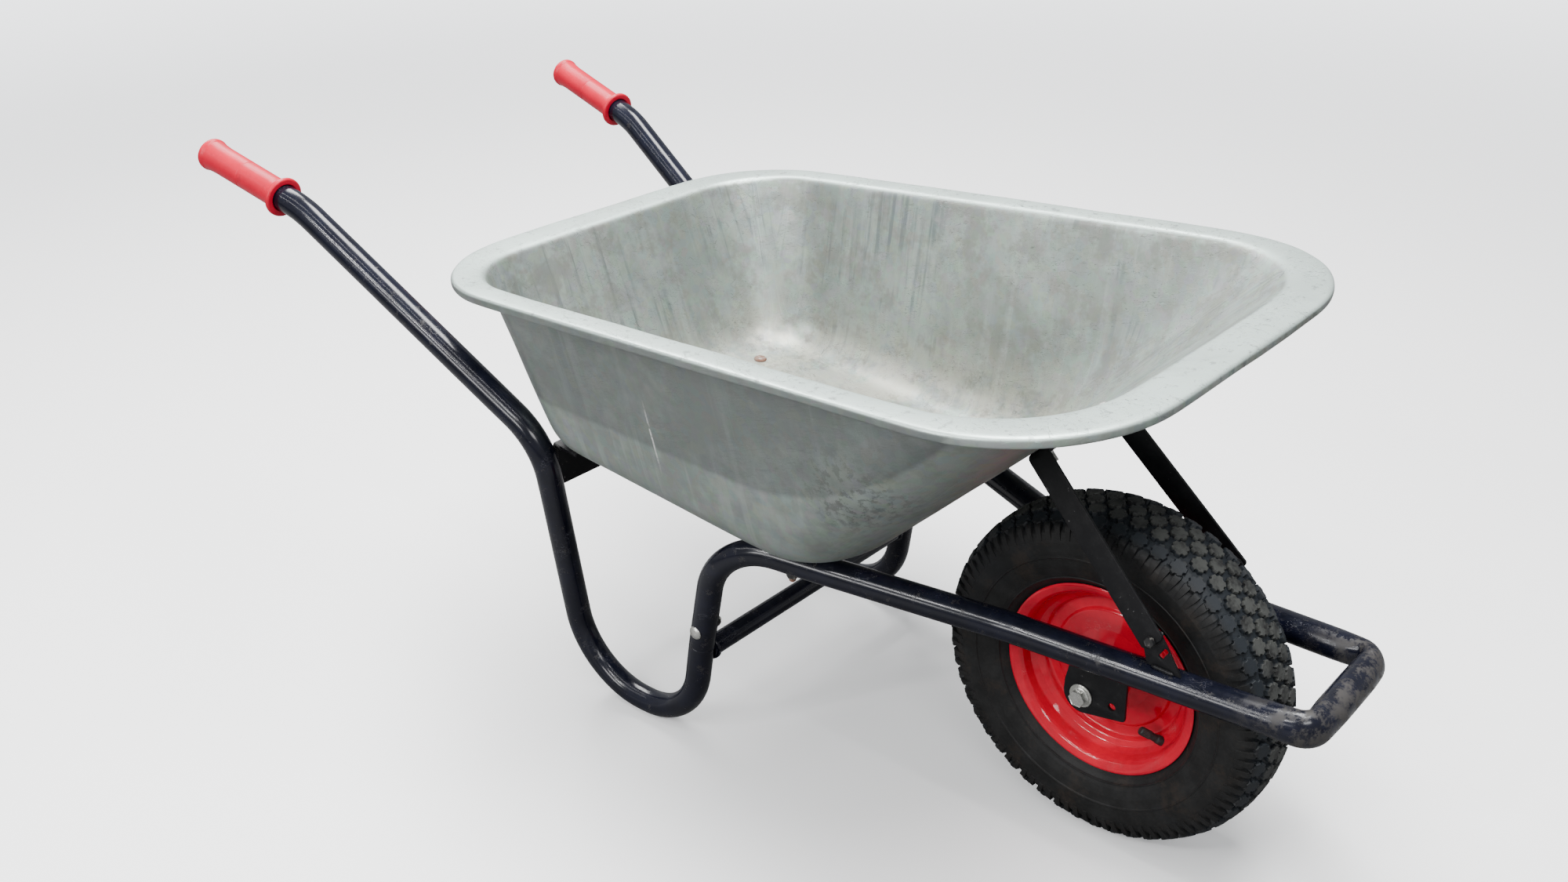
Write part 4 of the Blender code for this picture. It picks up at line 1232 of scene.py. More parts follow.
class BARROW_OT_brackets(bpy.types.Operator):
    """Makes the axle brackets and the strut tabs, and welds them to the arms"""

    bl_idname = "barrow.brackets"
    bl_label = "Brackets and tabs"

    def execute(self, context):
        for name, side in SIDES:
            self.axle_bracket(name, side)
            self.strut_tab(name, side)
        return {"FINISHED"}

    def axle_bracket(self, name, side):
        lobe, top = 0.022, 0.266
        turns = [radians(angle) for angle in range(180, 286, 5)]
        outline = [(lobe * cos(a), AXLE.z + lobe * sin(a)) for a in turns]
        outline += [(0.050, 0.1880), (0.0525, 0.1892), (0.053, 0.1915), (0.053, top)]
        outline += [(-0.017, top), (-0.017, 0.2340), (-0.0180, 0.2260), (-0.0212, 0.2130)]
        holes = [ring_of(M10[0] + GAP, 24, (0, AXLE.z)), ring_of(0.0045, 20, (0.037, 0.201))]
        middle = BRACKET_FACE - BRACKET_SHEET / 2
        plate = flat_plate(
            f"axle_plate_{name}", [outline, *holes], BRACKET_SHEET, upright(side, middle)
        )
        node = f"axle_bracket_{name}"
        finish_piece(plate, "frame", "frame_paint", "powder", node)
        # The arm runs past the plate, and its underside meets the plate's outer face.
        for tag, ahead, behind in (("a", 0.050, 0.030), ("b", 0.008, -0.013)):
            ends = []
            for x in (behind, ahead):
                along = (x - ARM_BEND[0]) / (NOSE_CORNER[0] - ARM_BEND[0])
                arm_z = ARM_BEND[2] + along * (NOSE_CORNER[2] - ARM_BEND[2])
                drop = settings("frame").tube_radius * 0.80
                ends.append(world((x, BRACKET_FACE + 0.0012, arm_z - drop), side))
            bead_of_weld(f"axle_plate_weld_{tag}_{name}", ends, 0.0022, "powder")

    def strut_tab(self, name, side):
        foot, _, _, normal, _ = strut_frame(side)
        outline = [
            (-0.0040, -0.0285), (0.0350, -0.0285), (0.0345, -0.0268), (0.0085, 0.0085),
            (0.0055, 0.0118), (0.001, 0.0130), (-0.006, 0.0130), (-0.0105, 0.0112),
            (-0.0125, 0.0075), (-0.0125, -0.0040), (-0.0085, -0.0140),
        ]
        slot = [(u + (0.0022 if v > 0 else -0.0022), v) for u, v in ring_of(0.0034, 20)]
        slot = [(u + 0.0135, v - 0.0105 + (0.003 if v > 0 else -0.003)) for u, v in slot]
        holes = [slot, ring_of(M6[0] + GAP, 20)]
        outward = normal * (side if normal.y > 0 else -side)
        forward = (Vector((1, 0, 0)) - normal * normal.x).normalized()
        up = forward.cross(outward) * side
        place = Matrix((forward, up, forward.cross(up))).transposed().to_4x4()
        place.translation = foot - outward * (STRUT_SHEET + GAP)
        tab = flat_plate(f"slotted_tab_{name}", [outline, *holes], STRUT_SHEET, place)
        finish_piece(tab, "frame", "frame_paint", "powder", f"strut_tab_{name}")
        for tag, offset in (("in", -0.0022), ("out", 0.0022)):
            ends = [place @ Vector((u, -0.0278, 0)) + outward * offset for u in (0.002, 0.028)]
            bead_of_weld(f"tab_weld_{tag}_{name}", ends, 0.0020, "powder")


class BARROW_OT_struts(bpy.types.Operator):
    """Folds the two flat struts that hold the tray's front wall"""

    bl_idname = "barrow.struts"
    bl_label = "Struts"

    def execute(self, context):
        for name, side in SIDES:
            foot, head, line, _, across = strut_frame(side)
            inward = Vector((0, -side, 0))
            half = STRUT_WIDTH / 2
            stations = [
                (foot + line * half * (-0.42 + 0.42 * (1 - cos(a))), sin(a))
                for a in (radians(angle) for angle in (52, 62, 72, 82, 90))
            ]
            stations += [(foot + line * 0.02, 1), (foot.lerp(head, 0.5), 1)]
            fold = [head - line * 0.006, head, head + inward * 0.006]
            for share in (0, 0.25, 0.5, 0.75, 1):
                first = fold[0].lerp(fold[1], share)
                stations.append((first.lerp(fold[1].lerp(fold[2], share), share), 1))
            stations += [(head + inward * 0.028, 1), (head + inward * 0.0295, 0.9)]
            shape = bmesh.new()
            centre, width = stations[0]
            verts = [shape.verts.new(centre + across * half * width * s) for s in (-1, 1)]
            edges = [shape.edges.new(verts)]
            for centre, width in stations[1:]:
                fresh, edges = pulled(shape, edges)
                fresh.sort(key=lambda vert: (vert.co - foot).dot(across))
                for vert, sign in zip(fresh, (-1, 1)):
                    vert.co = centre + across * half * width * sign
            bar = to_object(f"flat_strut_{name}", shape, 35)
            thicken(bar, STRUT_SHEET, 0).use_even_offset = True
            break_edges(bar, 0.0004, 50)
            finish_piece(bar, "frame", "frame_paint", "powder", f"strut_{name}")
        return {"FINISHED"}


class BARROW_OT_grips(bpy.types.Operator):
    """Moulds the two grips, with a collar at the end, a seam and a guard at the mouth"""

    bl_idname = "barrow.grips"
    bl_label = "Grips"

    def execute(self, context):
        length = settings("grip").length
        bore, body, mouth = settings("frame").tube_radius + 0.0003, 0.0183, 0.0252
        profile = [
            (0.0001, length), (0.0110, length - 0.0003), (0.0172, length - 0.0016),
            (0.0204, length - 0.0045), (0.0209, length - 0.0080), (0.0202, length - 0.0105),
            (0.0193, length - 0.0118), (0.0190, length - 0.0180), (0.0184, length - 0.0270),
            (body, 0.0700), (body - 0.0005, 0.0694), (body - 0.0005, 0.0686), (body, 0.0680),
            (body, 0.0190), (0.0190, 0.0120), (0.0215, 0.0080), (mouth - 0.0012, 0.0062),
            (mouth, 0.0048), (mouth, 0.0018), (mouth - 0.0014, 0.0002), (bore + 0.0012, 0),
            (bore, 0.0012), (bore, 0.0100),
        ]
        for name, side in SIDES:
            face, end = world(GRIP_FACE, side), world(HANDLE_END, side)
            shape = bmesh.new()
            turned(shape, fillet(profile, 0.0035), stand(face, end - face), 64)
            grip = to_object(f"handle_grip_{name}", shape, 60)
            finish_piece(grip, "frame", "red_plastic", "grip", f"grip_{name}")
        return {"FINISHED"}


# ---------------------------------------------------------------- fasteners


def hexagon_prism(shape, across_flats, height, place):
    """A hexagon prism standing on its base, with the usual turned chamfer on its far face."""
    corner = across_flats / 2 / cos(pi / 6)
    made = bmesh.ops.create_cone(
        shape, cap_ends=True, segments=6, radius1=corner, radius2=corner, depth=height
    )["verts"]
    bmesh.ops.translate(shape, vec=Vector((0, 0, height / 2)), verts=made)
    faces = {face for vert in made for face in vert.link_faces}
    top = max(faces, key=lambda face: face.calc_center_median().z)
    bmesh.ops.inset_region(shape, faces=[top], thickness=across_flats * 0.045)
    rim = [vert for vert in made if vert.co.z > height * 0.9]
    bmesh.ops.translate(shape, vec=Vector((0, 0, -height * 0.14)), verts=rim)
    block = made + list(top.verts)
    uprights = [
        edge
        for edge in {edge for vert in made for edge in vert.link_edges}
        if abs(edge.verts[0].co.z - edge.verts[1].co.z) > height * 0.5
    ]
    before = set(shape.verts) - set(block)
    bmesh.ops.bevel(
        shape, geom=uprights, offset=across_flats * 0.02, segments=2, profile=0.5, affect="EDGES",
        material=-1,
    )
    fresh = [vert for vert in shape.verts if vert not in before]
    bmesh.ops.transform(shape, matrix=place, verts=fresh)


def thread_profile(radius, start, end, pitch=0.00125):
    """A threaded shank's outline from one height down to another, ending in a chamfered tip."""
    points = [(radius, start)]
    height = start
    while height - pitch > end + 0.001:
        points += [(radius * 0.88, height - pitch / 2), (radius, height - pitch)]
        height -= pitch
    points += [(radius * 0.8, end), (0.0001, end)]
    return points


def hex_bolt(name, node, size, length, head, direction, washer_face=0.0, finish="zinc"):
    """A hexagon bolt whose head sits at a point and whose shank runs along the direction."""
    shank, across_flats, height = size
    shape = bmesh.new()
    away = -Vector(direction).normalized()
    hexagon_prism(shape, across_flats, height, stand(head + away * washer_face, away))
    profile = [(0.0001, height * 0.5), (shank, height * 0.5)]
    profile += thread_profile(shank, -length * 0.5, -length)
    if washer_face:
        rim = across_flats * 0.62
        profile = [(0.0001, washer_face), (rim - 0.0008, washer_face), (rim, 0.0006), (rim, 0)]
        profile += [(shank, 0)] + thread_profile(shank, -length * 0.5, -length)
    turned(shape, profile, stand(head, away), 24)
    bolt = to_object(name, shape, 40)
    return finish_piece(bolt, "frame", "zinc", finish, node)


def cup_bolt(name, node, size, length, head, direction, finish="zinc"):
    """A cup-headed bolt: a low dome on a threaded shank that runs along the direction."""
    shank, across_flats, height = size
    head_radius = across_flats * 0.66
    dome = [
        (max(0.0001, head_radius * sin(a)), height * cos(a))
        for a in (radians(angle) for angle in range(0, 91, 10))
    ]
    profile = dome + [(shank, 0)] + thread_profile(shank, -length * 0.55, -length)
    shape = bmesh.new()
    turned(shape, profile, stand(head, -Vector(direction)), 32)
    bolt = to_object(name, shape, 40)
    return finish_piece(bolt, "frame", "zinc", finish, node)


def hex_nut(name, node, size, seat, direction, finish="dull"):
    """A plain nut standing off its seat along the direction, chamfered on its far face."""
    shank, across_flats, height = size
    shape = bmesh.new()
    hexagon_prism(shape, across_flats, height, stand(seat, direction))
    collar = [(shank * 0.9, height - 0.0002), (shank * 1.35, height + 0.0001)]
    turned(shape, collar, stand(seat, direction), 24)
    nut = to_object(name, shape, 40)
    return finish_piece(nut, "frame", "zinc", finish, node)


def round_washer(name, node, radius, hole, thickness, seat, direction):
    edge = 0.0004
    profile = [
        (hole, 0), (radius - edge, 0), (radius, edge), (radius, thickness - edge),
        (radius - edge, thickness), (hole, thickness),
    ]
    shape = bmesh.new()
    turned(shape, closed(profile), stand(seat, direction), 48)
    washer = to_object(name, shape, 40)
    return finish_piece(washer, "frame", "zinc", "zinc", node)


class BARROW_OT_axle(bpy.types.Operator):
    """Makes the axle bolt with its nut and washers, and finishes the sleeve inside the hub"""

    bl_idname = "barrow.axle"
    bl_label = "Axle"

    def execute(self, context):
        face = BRACKET_FACE + GAP
        sheet = 0.002
        left = Vector((0, 1, 0))
        seat = face + sheet + GAP
        length = seat + BRACKET_FACE + 0.016
        hex_bolt("axle_through_bolt", "axle_bolt", M10, length, AXLE - left * seat, left, 0.0012)
        size = (M10[0], M10[1], 0.008)
        hex_nut("axle_lock_nut", "axle_nut", size, AXLE + left * seat, left, "zinc")
        for name, side in SIDES:
            outward = left * side
            round_washer(
                f"axle_disc_{name}", f"axle_washer_{name}", 0.0135, M10[0] + GAP, sheet,
                AXLE + outward * face, outward,
            )
        refinish("axle_sleeve", "zinc")
        return {"FINISHED"}


class BARROW_OT_frame_bolts(bpy.types.Operator):
    """Makes the bolts and nuts that hold the frame and the tray together"""

    bl_idname = "barrow.frame_bolts"
    bl_label = "Frame and tray bolts"

    def execute(self, context):
        sheet = settings("tray").sheet
        dome = (M8[0], M8[1], 0.0040)
        skin = settings("frame").tube_radius * settings("frame").slim + GAP
        for name, side in SIDES:
            outward = Vector((0, side, 0))
            joint = joint_centre(side)
            low = joint + outward * (skin - 0.0012)
            cup_bolt(f"riser_bolt_{name}", f"joint_bolt_{name}", dome, 0.040, low, -outward)
            seat = joint - outward * skin
            hex_nut(f"riser_nut_{name}", f"joint_nut_{name}", M8, seat, -outward)

            foot, _, _, normal, _ = strut_frame(side)
            flat = normal * (side if normal.y > 0 else -side)
            near = foot + flat * (STRUT_SHEET / 2 + GAP)
            hex_bolt(
                f"tab_bolt_{name}", f"strut_foot_bolt_{name}", M6, 0.020, near, -flat, finish="dull"
            )
            far = foot - flat * (STRUT_SHEET * 1.5 + 2 * GAP)
            hex_nut(f"tab_nut_{name}", f"strut_foot_nut_{name}", M6, far, -flat)

            fold = strut_bolt_point(side)
            inside = fold + WALL_NORMAL * (STRUT_SHEET / 2 + sheet + 3 * GAP)
            node = f"strut_tray_bolt_{name}"
            cup_bolt(f"wall_bolt_{name}", node, dome, 0.022, inside, -WALL_NORMAL)
            below = fold - WALL_NORMAL * (STRUT_SHEET / 2 + GAP)
            hex_nut(f"wall_nut_{name}", f"strut_tray_nut_{name}", M8, below, -WALL_NORMAL)

            for place, (x, y), depth in (("rear", REAR_BOLT, 0.004), ("front", FRONT_BOLT, 0.0355)):
                under = world((x, y, floor_height(x)), side)
                top = under + FLOOR_NORMAL * (sheet + GAP)
                node = f"tray_bolt_{place}_{name}"
                cup_bolt(
                    f"floor_bolt_{place}_{name}", node, dome, depth + 0.014, top, -FLOOR_NORMAL,
                    "rusty",
                )
                seat = under - FLOOR_NORMAL * (depth + 3 * GAP)
                node = f"tray_nut_{place}_{name}"
                hex_nut(f"floor_nut_{place}_{name}", node, M8, seat, -FLOOR_NORMAL)
        return {"FINISHED"}


# ---------------------------------------------------------------- wheel

WHEEL = Matrix.Translation(AXLE) @ Matrix.Rotation(-pi / 2, 4, "X")


def crown_radius(across):
    """Radius of the carcass at a distance across from its middle."""
    for (r0, y0), (r1, y1) in zip(CROWN, CROWN[1:]):
        if across <= y1:
            return r0 + (r1 - r0) * (across - y0) / (y1 - y0)
    return CROWN[-1][0]


class BARROW_OT_tyre(bpy.types.Operator):
    """Moulds the tyre: carcass, rows of flower-shaped tread blocks and ribbed shoulders"""

    bl_idname = "barrow.tyre"
    bl_label = "Tyre"

    def execute(self, context):
        wheel = settings("wheel")
        shape = bmesh.new()
        turned(shape, closed(self.carcass_profile()), WHEEL, 144)
        carcass = to_object("tyre_carcass", shape, 50)
        finish_piece(carcass, "wheel", "tyre_rubber", "tyre", "tyre")
        self.tread(wheel)
        self.shoulders(wheel)
        refinish("inner_tube", "rubber")
        return {"FINISHED"}

    def carcass_profile(self):
        """Section of the carcass, open towards the rim, with its side-wall rings."""
        half = [
            *CROWN, (0.1780, 0.0468), (0.1680, 0.0494), (0.1560, 0.0494), (0.1515, 0.0489),
            (0.1508, 0.0497), (0.1500, 0.0497), (0.1493, 0.0484), (0.1400, 0.0470),
            (0.1300, 0.0440), (0.1255, 0.0420), (0.1248, 0.0426), (0.1240, 0.0424),
            (0.1234, 0.0408), (0.1195, 0.0372), (0.1165, 0.0335), (0.1145, 0.0322),
            (0.1072, 0.0302), (0.1040, 0.0256), (0.1035, 0.0222),
        ]
        inner = [(0.1180, 0.0285), (0.1400, 0.0425), (0.1640, 0.0446), (0.1810, 0.0392)]
        inner += [(0.1905, 0.0240), (0.1915, 0.0)]
        side = fillet(half, 0.006, radians(10)) + inner
        below = [(radius, -width) for radius, width in reversed(side[1:-1])]
        return side + below

    def flower(self, radius, height):
        """One tread block: a squat six-lobed prism with a broken top edge."""
        shape = bmesh.new()
        outline = []
        for lobe in range(6):
            middle = lobe * pi / 3
            for turn, share in ((-0.40, 0.80), (-0.27, 1.0), (0.27, 1.0), (0.40, 0.80)):
                angle = middle + turn
                outline.append((radius * share * cos(angle), radius * share * sin(angle)))
        base = [shape.verts.new((u, v, -BLOCK_ROOT)) for u, v in outline]
        face = shape.faces.new(base)
        grown = bmesh.ops.extrude_face_region(shape, geom=[face])["geom"]
        top = [item for item in grown if isinstance(item, bmesh.types.BMVert)]
        bmesh.ops.translate(shape, vec=Vector((0, 0, height + BLOCK_ROOT)), verts=top)
        bmesh.ops.scale(shape, vec=Vector((0.94, 0.94, 1)), verts=top)
        lid = [item for item in grown if isinstance(item, bmesh.types.BMFace)]
        bmesh.ops.inset_region(shape, faces=lid, thickness=0.0005, depth=0.0)
        bmesh.ops.translate(shape, vec=Vector((0, 0, TREAD_CROWN)), verts=list(lid[0].verts))
        bmesh.ops.recalc_face_normals(shape, faces=shape.faces)
        mesh = bpy.data.meshes.new("flower")
        shape.to_mesh(mesh)
        shape.free()
        return mesh

    def tread(self, wheel):
        """Lays the rows of blocks round the crown, each row half a pitch on from the last."""
        rows = wheel.tread_rows
        block = self.flower(BLOCK_RADIUS, wheel.block_height - TREAD_CROWN)
        shape = bmesh.new()
        for row in range(rows):
            across = (row - (rows - 1) / 2) * TREAD_PITCH
            away, step = abs(across), 0.002
            radius = crown_radius(away)
            fall = crown_radius(away - step) - crown_radius(away + step) if away > step else 0
            tilt = Vector((1, 0, copysign(fall / (2 * step), across)))
            for k in range(wheel.blocks):
                turn = 2 * pi * (k + 0.5 * (row % 2)) / wheel.blocks
                start = len(shape.verts)
                shape.from_mesh(block)
                shape.verts.ensure_lookup_table()
                fresh = shape.verts[start:]
                spin = Matrix.Rotation(turn, 4, "Z")
                spot = stand(Vector((radius, 0, across)), tilt, Vector((0, 1, 0)))
                twist = Matrix.Rotation(radians(15) * (1 if k % 2 else -1), 4, "Z")
                bmesh.ops.transform(shape, matrix=WHEEL @ spin @ spot @ twist, verts=fresh)
        bpy.data.meshes.remove(block)
        blocks = to_object("tyre_tread", shape, 40)
        finish_piece(blocks, "wheel", "tyre_rubber", "tyre")

    def shoulders(self, wheel):
        """Ribs that run from the tread's edge down each side wall and fade out."""
        stations = (
            (0.1890, 0.0385, 0.0043, 0.0040), (0.1882, 0.0438, 0.0045, 0.0016),
            (0.1838, 0.0466, 0.0043, 0.0014), (0.1770, 0.0485, 0.0036, 0.0008),
            (0.1700, 0.0493, 0.0028, 0.0002),
        )
        for name, side in SIDES:
            shape = bmesh.new()
            for k in range(wheel.ribs):
                turn = 2 * pi * (k + 0.25) / wheel.ribs
                self.rib(shape, stations, side, Matrix.Rotation(turn, 4, "Z"))
            ribs = to_object(f"tyre_shoulder_{name}", shape, 50)
            finish_piece(ribs, "wheel", "tyre_rubber", "tyre")

    def rib(self, shape, stations, side, spin):
        """One rib: a low bar, four-sided in section, extruded from station to station."""
        before, edges = [], []
        for radius, width, half, rise in stations:
            depth = rise + 0.003
            corners = [
                Vector((radius - depth * 0.55, -half, side * (width - depth * 0.8))),
                Vector((radius, -half * 0.8, side * width)),
                Vector((radius, half * 0.8, side * width)),
                Vector((radius - depth * 0.55, half, side * (width - depth * 0.8))),
            ]
            corners = [WHEEL @ (spin @ corner) for corner in corners]
            if not before:
                before = [shape.verts.new(corner) for corner in corners]
                edges = list(shape.faces.new(before).edges)
                continue
            fresh, edges = pulled(shape, edges)
            pairs = {}
            for vert in fresh:
                linked = [edge.other_vert(vert) for edge in vert.link_edges]
                pairs[next(before.index(old) for old in linked if old in before)] = vert
            before = [pairs[index] for index in range(len(corners))]
            for vert, corner in zip(before, corners):
                vert.co = corner
        shape.faces.new(list(reversed(before)))


class BARROW_OT_rim(bpy.types.Operator):
    """Presses the two rim halves and the hub, and finishes the bushes"""

    bl_idname = "barrow.rim"
    bl_label = "Rim and hub"

    def execute(self, context):
        line = [
            (0.1150, 0.0345), (0.1128, 0.0352), (0.1095, 0.0338), (0.1050, 0.0315),
            (0.1020, 0.0270), (0.1000, 0.0180), (0.0945, 0.0115), (0.0885, 0.0075),
            (0.0855, 0.0013), (0.0722, 0.0013), (0.0700, 0.0044), (0.0480, 0.0060),
            (0.0300, 0.0120), (0.0200, 0.0240), (0.0168, 0.0275),
        ]
        smooth_line = fillet(line, 0.006, radians(9))
        for name, side in SIDES:
            profile = [(radius, side * height) for radius, height in smooth_line]
            shape = bmesh.new()
            turned(shape, profile, WHEEL, 128)
            rim = to_object(f"rim_pressing_{name}", shape, 60)
            thicken(rim, 0.0018, 0)
            break_edges(rim, 0.0006, 60)
            node = f"rim_half_{name}"
            finish_piece(rim, "wheel", "red_paint", "rim", node)
        reach = 0.050
        hub = [
            (0.0130, reach), (0.0152, reach), (0.0160, reach - 0.0008), (0.0160, 0.0008 - reach),
            (0.0152, -reach), (0.0130, -reach),
        ]
        shape = bmesh.new()
        turned(shape, closed(hub), WHEEL, 48)
        tube = to_object("hub_barrel", shape, 40)
        finish_piece(tube, "wheel", "red_paint", "rim", "hub_tube")
        for name, side in SIDES:
            refinish(f"hub_bush_{name}", "nylon")
            turns = [2 * pi * k / 40 for k in range(41)]
            loop = [
                WHEEL @ Vector((0.0172 * cos(a), 0.0172 * sin(a), side * 0.0290)) for a in turns
            ]
            bead_of_weld(
                f"hub_weld_{name}", loop, 0.0020, "rim", Vector((0, 1, 0)), "wheel", "red_paint"
            )
        return {"FINISHED"}


class BARROW_OT_valve(bpy.types.Operator):
    """Moulds the valve's rubber stem, its grommet and its knurled cap"""

    bl_idname = "barrow.valve"
    bl_label = "Valve"

    def execute(self, context):
        def spot(radius, height):
            return Vector((radius * cos(VALVE_TURN), radius * sin(VALVE_TURN), height))

        base = WHEEL @ spot(*VALVE_BASE)
        tip = WHEEL @ spot(*VALVE_TIP)
        length = (tip - base).length
        stem = [
            (0.0001, length), (0.0030, length), (0.0041, length - 0.0030),
            (0.0044, length - 0.0130), (0.0052, length - 0.0150), (0.0056, 0.0040),
            (0.0066, 0.0020), (0.0060, 0.0), (0.0001, 0.0),
        ]
        shape = bmesh.new()
        turned(shape, fillet(stem, 0.002), stand(base, tip - base), 32)
        piece = to_object("valve_body", shape, 40)
        finish_piece(piece, "wheel", "soft_rubber", "rubber", "valve_stem")
        cap = [
            (0.0001, 0.0084), (0.0036, 0.0084), (0.0046, 0.0074), (0.0049, 0.0060),
            (0.0049, -0.0050), (0.0044, -0.0058), (0.0036, -0.0058), (0.0036, 0.0008),
            (0.0001, 0.0008),
        ]
        shape = bmesh.new()
        turned(shape, fillet(cap, 0.001), stand(tip, tip - base), 36)
        axis = (tip - base).normalized()
        level = stand(tip, axis).inverted()
        for vert in shape.verts:
            away = vert.co - tip
            radial = away - axis * away.dot(axis)
            if radial.length > 0.0047:
                turn = (level @ vert.co).xy
                step = round(turn.angle_signed(Vector((1, 0))) / (pi / 18))
                vert.co -= radial.normalized() * (0.00035 if step % 2 else 0)
        piece = to_object("valve_cover", shape, 30)
        finish_piece(piece, "wheel", "soft_rubber", "rubber", "valve_cap")
        return {"FINISHED"}


# ---------------------------------------------------------------- stage


def area_light(name, place, target, size, power, colour=(1, 1, 1)):
    lamp = bpy.data.lights.new(name, "AREA")
    lamp.shape = "RECTANGLE"
    lamp.size, lamp.size_y = size
    lamp.energy = power
    lamp.color = colour
    obj = bpy.data.objects.new(name, lamp)
    bpy.context.scene.collection.objects.link(obj)
    obj.location = place
    obj.rotation_mode = "QUATERNION"
    obj.rotation_quaternion = (Vector(target) - Vector(place)).to_track_quat("-Z", "Y")


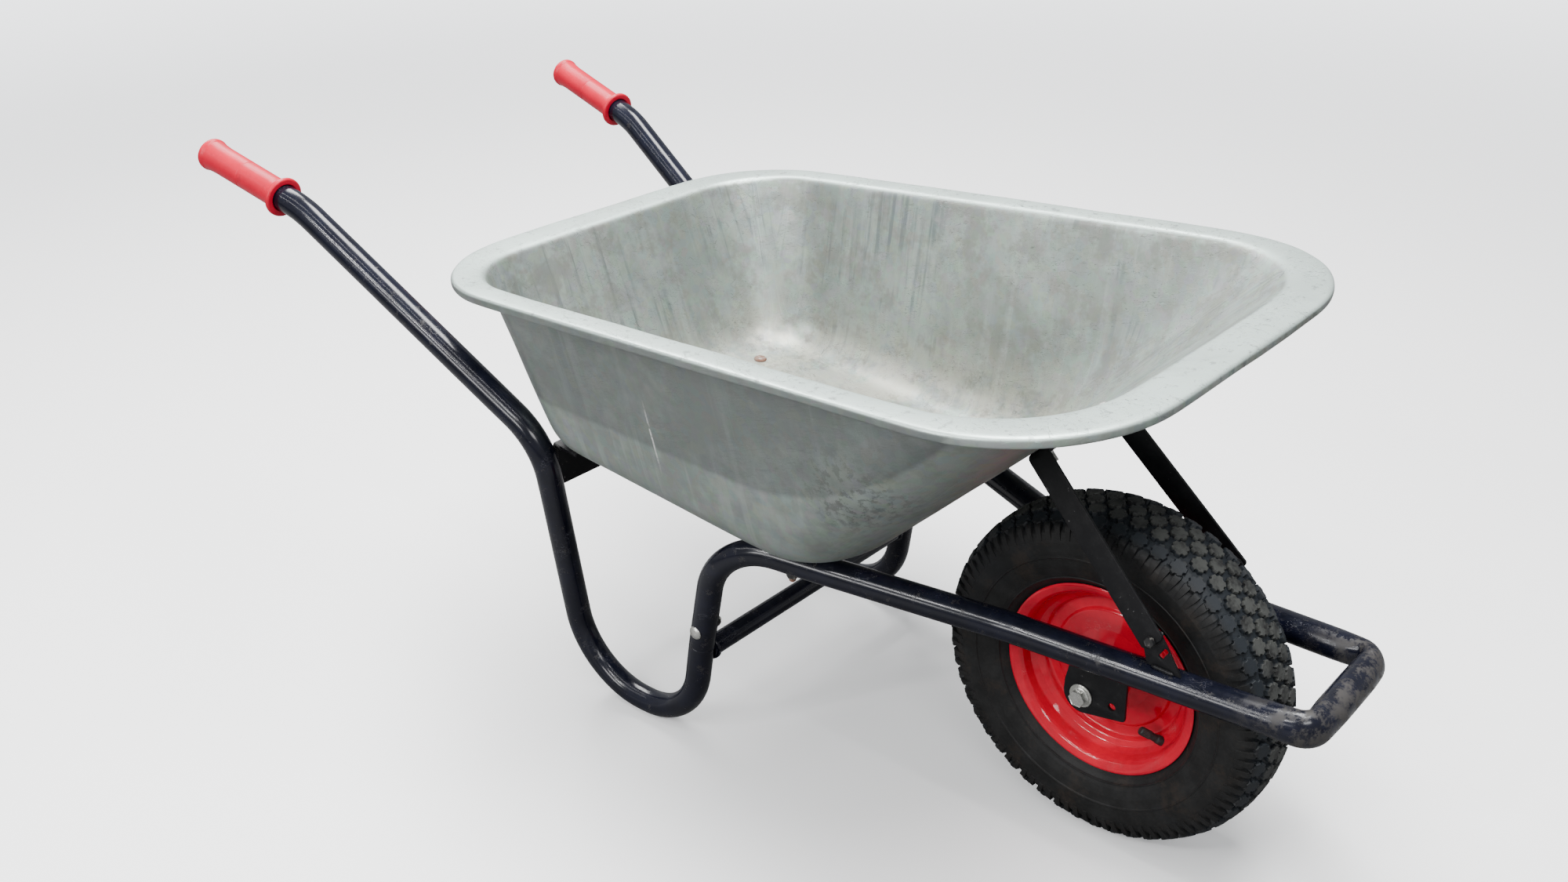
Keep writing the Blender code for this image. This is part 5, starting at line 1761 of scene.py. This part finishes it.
class BARROW_OT_stage(bpy.types.Operator):
    """Sets out the pale floor, the soft lights and the camera"""

    bl_idname = "barrow.stage"
    bl_label = "Stage"

    def execute(self, context):
        self.floor()
        self.lights(context.scene)
        self.camera(context.scene)
        return {"FINISHED"}

    def floor(self):
        shape = bmesh.new()
        bmesh.ops.create_grid(shape, x_segments=2, y_segments=2, size=14)
        bmesh.ops.translate(shape, vec=Vector((0, 0, -0.0005)), verts=shape.verts)
        floor = to_object("studio_floor", shape)
        material = bpy.data.materials.new("studio floor")
        material.use_nodes = True
        shader = material.node_tree.nodes["Principled BSDF"]
        # The floor looks pale but bounces little, so that the dark pieces stay dark.
        tree = material.node_tree
        sight = tree.nodes.new("ShaderNodeLightPath").outputs["Is Camera Ray"]
        pale = mix_colour(tree, sight, (0.16, 0.16, 0.16), (0.93, 0.93, 0.93))
        tree.links.new(pale, shader.inputs["Base Color"])
        shader.inputs["Roughness"].default_value = 0.9

        # Away from the lamps it brightens, so that it runs into the backdrop with no edge.
        spot = tree.nodes.new("ShaderNodeTexCoord").outputs["Object"]
        away = add_node(tree, "ShaderNodeVectorMath", {0: spot}, operation="LENGTH")
        far = map_range(tree, away.outputs["Value"], 1.0, 7.0, 0.15, 2.6)
        shader.inputs["Emission Color"].default_value = (0.95, 0.97, 1.0, 1)
        tree.links.new(math(tree, "MULTIPLY", far, sight), shader.inputs["Emission Strength"])
        floor.data.materials.append(material)

    def lights(self, scene):
        studio = bpy.data.worlds.new("studio")
        studio.use_nodes = True
        tree = studio.node_tree
        backdrop = tree.nodes["Background"]
        backdrop.inputs["Color"].default_value = (0.95, 0.97, 1.0, 1)
        sight = tree.nodes.new("ShaderNodeLightPath").outputs["Is Camera Ray"]
        tree.links.new(map_range(tree, sight, 0.0, 1.0, 0.48, 3.0), backdrop.inputs["Strength"])
        scene.world = studio
        middle = (0.1, 0, 0.35)
        area_light("ceiling", (0.25, 0.25, 3.2), middle, (3.6, 0.85), 300)
        area_light("front wall", (2.2, -1.4, 2.0), middle, (1.0, 0.5), 20)
        area_light("rear window", (-2.0, 0.5, 2.4), (0.3, 0, 0.5), (1.4, 0.8), 66)
        area_light("side fill", (-0.3, -3.2, 1.3), (-0.1, 0, 0.45), (1.7, 0.40), 34)
        for name, place in (
            ("tube lamp a", (-0.9, -1.05, 2.5)), ("tube lamp b", (-0.9, -1.9, 2.0))
        ):
            area_light(name, place, (place[0], 0, 0.3), (3.8, 0.03), 13)
        for name, place in (
            ("window a", (-0.75, -2.30, 1.80)), ("window b", (-0.45, -2.35, 1.85)),
            ("window c", (-0.60, -2.20, 2.25)), ("window d", (0.10, -2.30, 2.00)),
            ("window e", (0.45, -2.25, 2.10)),
        ):
            area_light(name, place, (0.46, 0, 0.2), (0.10, 0.10), 6.5)

    def camera(self, scene):
        lens = bpy.data.cameras.new("studio camera")
        eye = bpy.data.objects.new("studio camera", lens)
        scene.collection.objects.link(eye)
        yaw, pitch, roll = radians(128.90), radians(-27.73), radians(-0.40)
        ahead = Vector((cos(pitch) * cos(yaw), cos(pitch) * sin(yaw), sin(pitch)))
        right = ahead.cross(Vector((0, 0, 1))).normalized()
        down = ahead.cross(right)
        level_right = right * cos(roll) - down * sin(roll)
        level_down = right * sin(roll) + down * cos(roll)
        turn = Matrix((level_right, -level_down, -ahead)).transposed().to_4x4()
        turn.translation = Vector((0.638 + AXLE.x, -1.171, 1.136))
        eye.matrix_world = turn
        lens.sensor_width = 36
        lens.lens = 33.66
        lens.shift_x = -0.0702
        lens.shift_y = 0.0165
        lens.clip_start, lens.clip_end = 0.05, 60
        scene.camera = eye


# ---------------------------------------------------------------- panel and registration

OPERATORS = (
    BARROW_OT_tray, BARROW_OT_front_tube, BARROW_OT_side_tubes, BARROW_OT_cross_tubes,
    BARROW_OT_brackets, BARROW_OT_struts, BARROW_OT_grips, BARROW_OT_axle, BARROW_OT_frame_bolts,
    BARROW_OT_tyre, BARROW_OT_rim, BARROW_OT_valve, BARROW_OT_stage,
)
SETTINGS = {
    "tray": TraySettings, "frame": FrameSettings, "wheel": WheelSettings, "grip": GripSettings
}


class BARROW_PT_panel(bpy.types.Panel):
    """Lists the settings and the operators that build the wheelbarrow"""

    bl_idname = "BARROW_PT_panel"
    bl_label = "Wheelbarrow"
    bl_space_type = "VIEW_3D"
    bl_region_type = "UI"
    bl_category = "Wheelbarrow"

    def draw(self, context):
        for name, kind in SETTINGS.items():
            box = self.layout.box()
            for prop in kind.__annotations__:
                box.prop(settings(name), prop)
        for operator in OPERATORS:
            self.layout.operator(operator.bl_idname)


def register():
    for kind in (*SETTINGS.values(), *OPERATORS, BARROW_PT_panel):
        bpy.utils.register_class(kind)
    for name, kind in SETTINGS.items():
        setattr(bpy.types.Scene, "barrow_" + name, bpy.props.PointerProperty(type=kind))


def unregister():
    for name in SETTINGS:
        delattr(bpy.types.Scene, "barrow_" + name)
    for kind in (BARROW_PT_panel, *reversed(OPERATORS), *SETTINGS.values()):
        bpy.utils.unregister_class(kind)


def main():
    register()
    for operator in OPERATORS:
        family, name = operator.bl_idname.split(".")
        getattr(getattr(bpy.ops, family), name)()


if __name__ == "__main__":
    main()
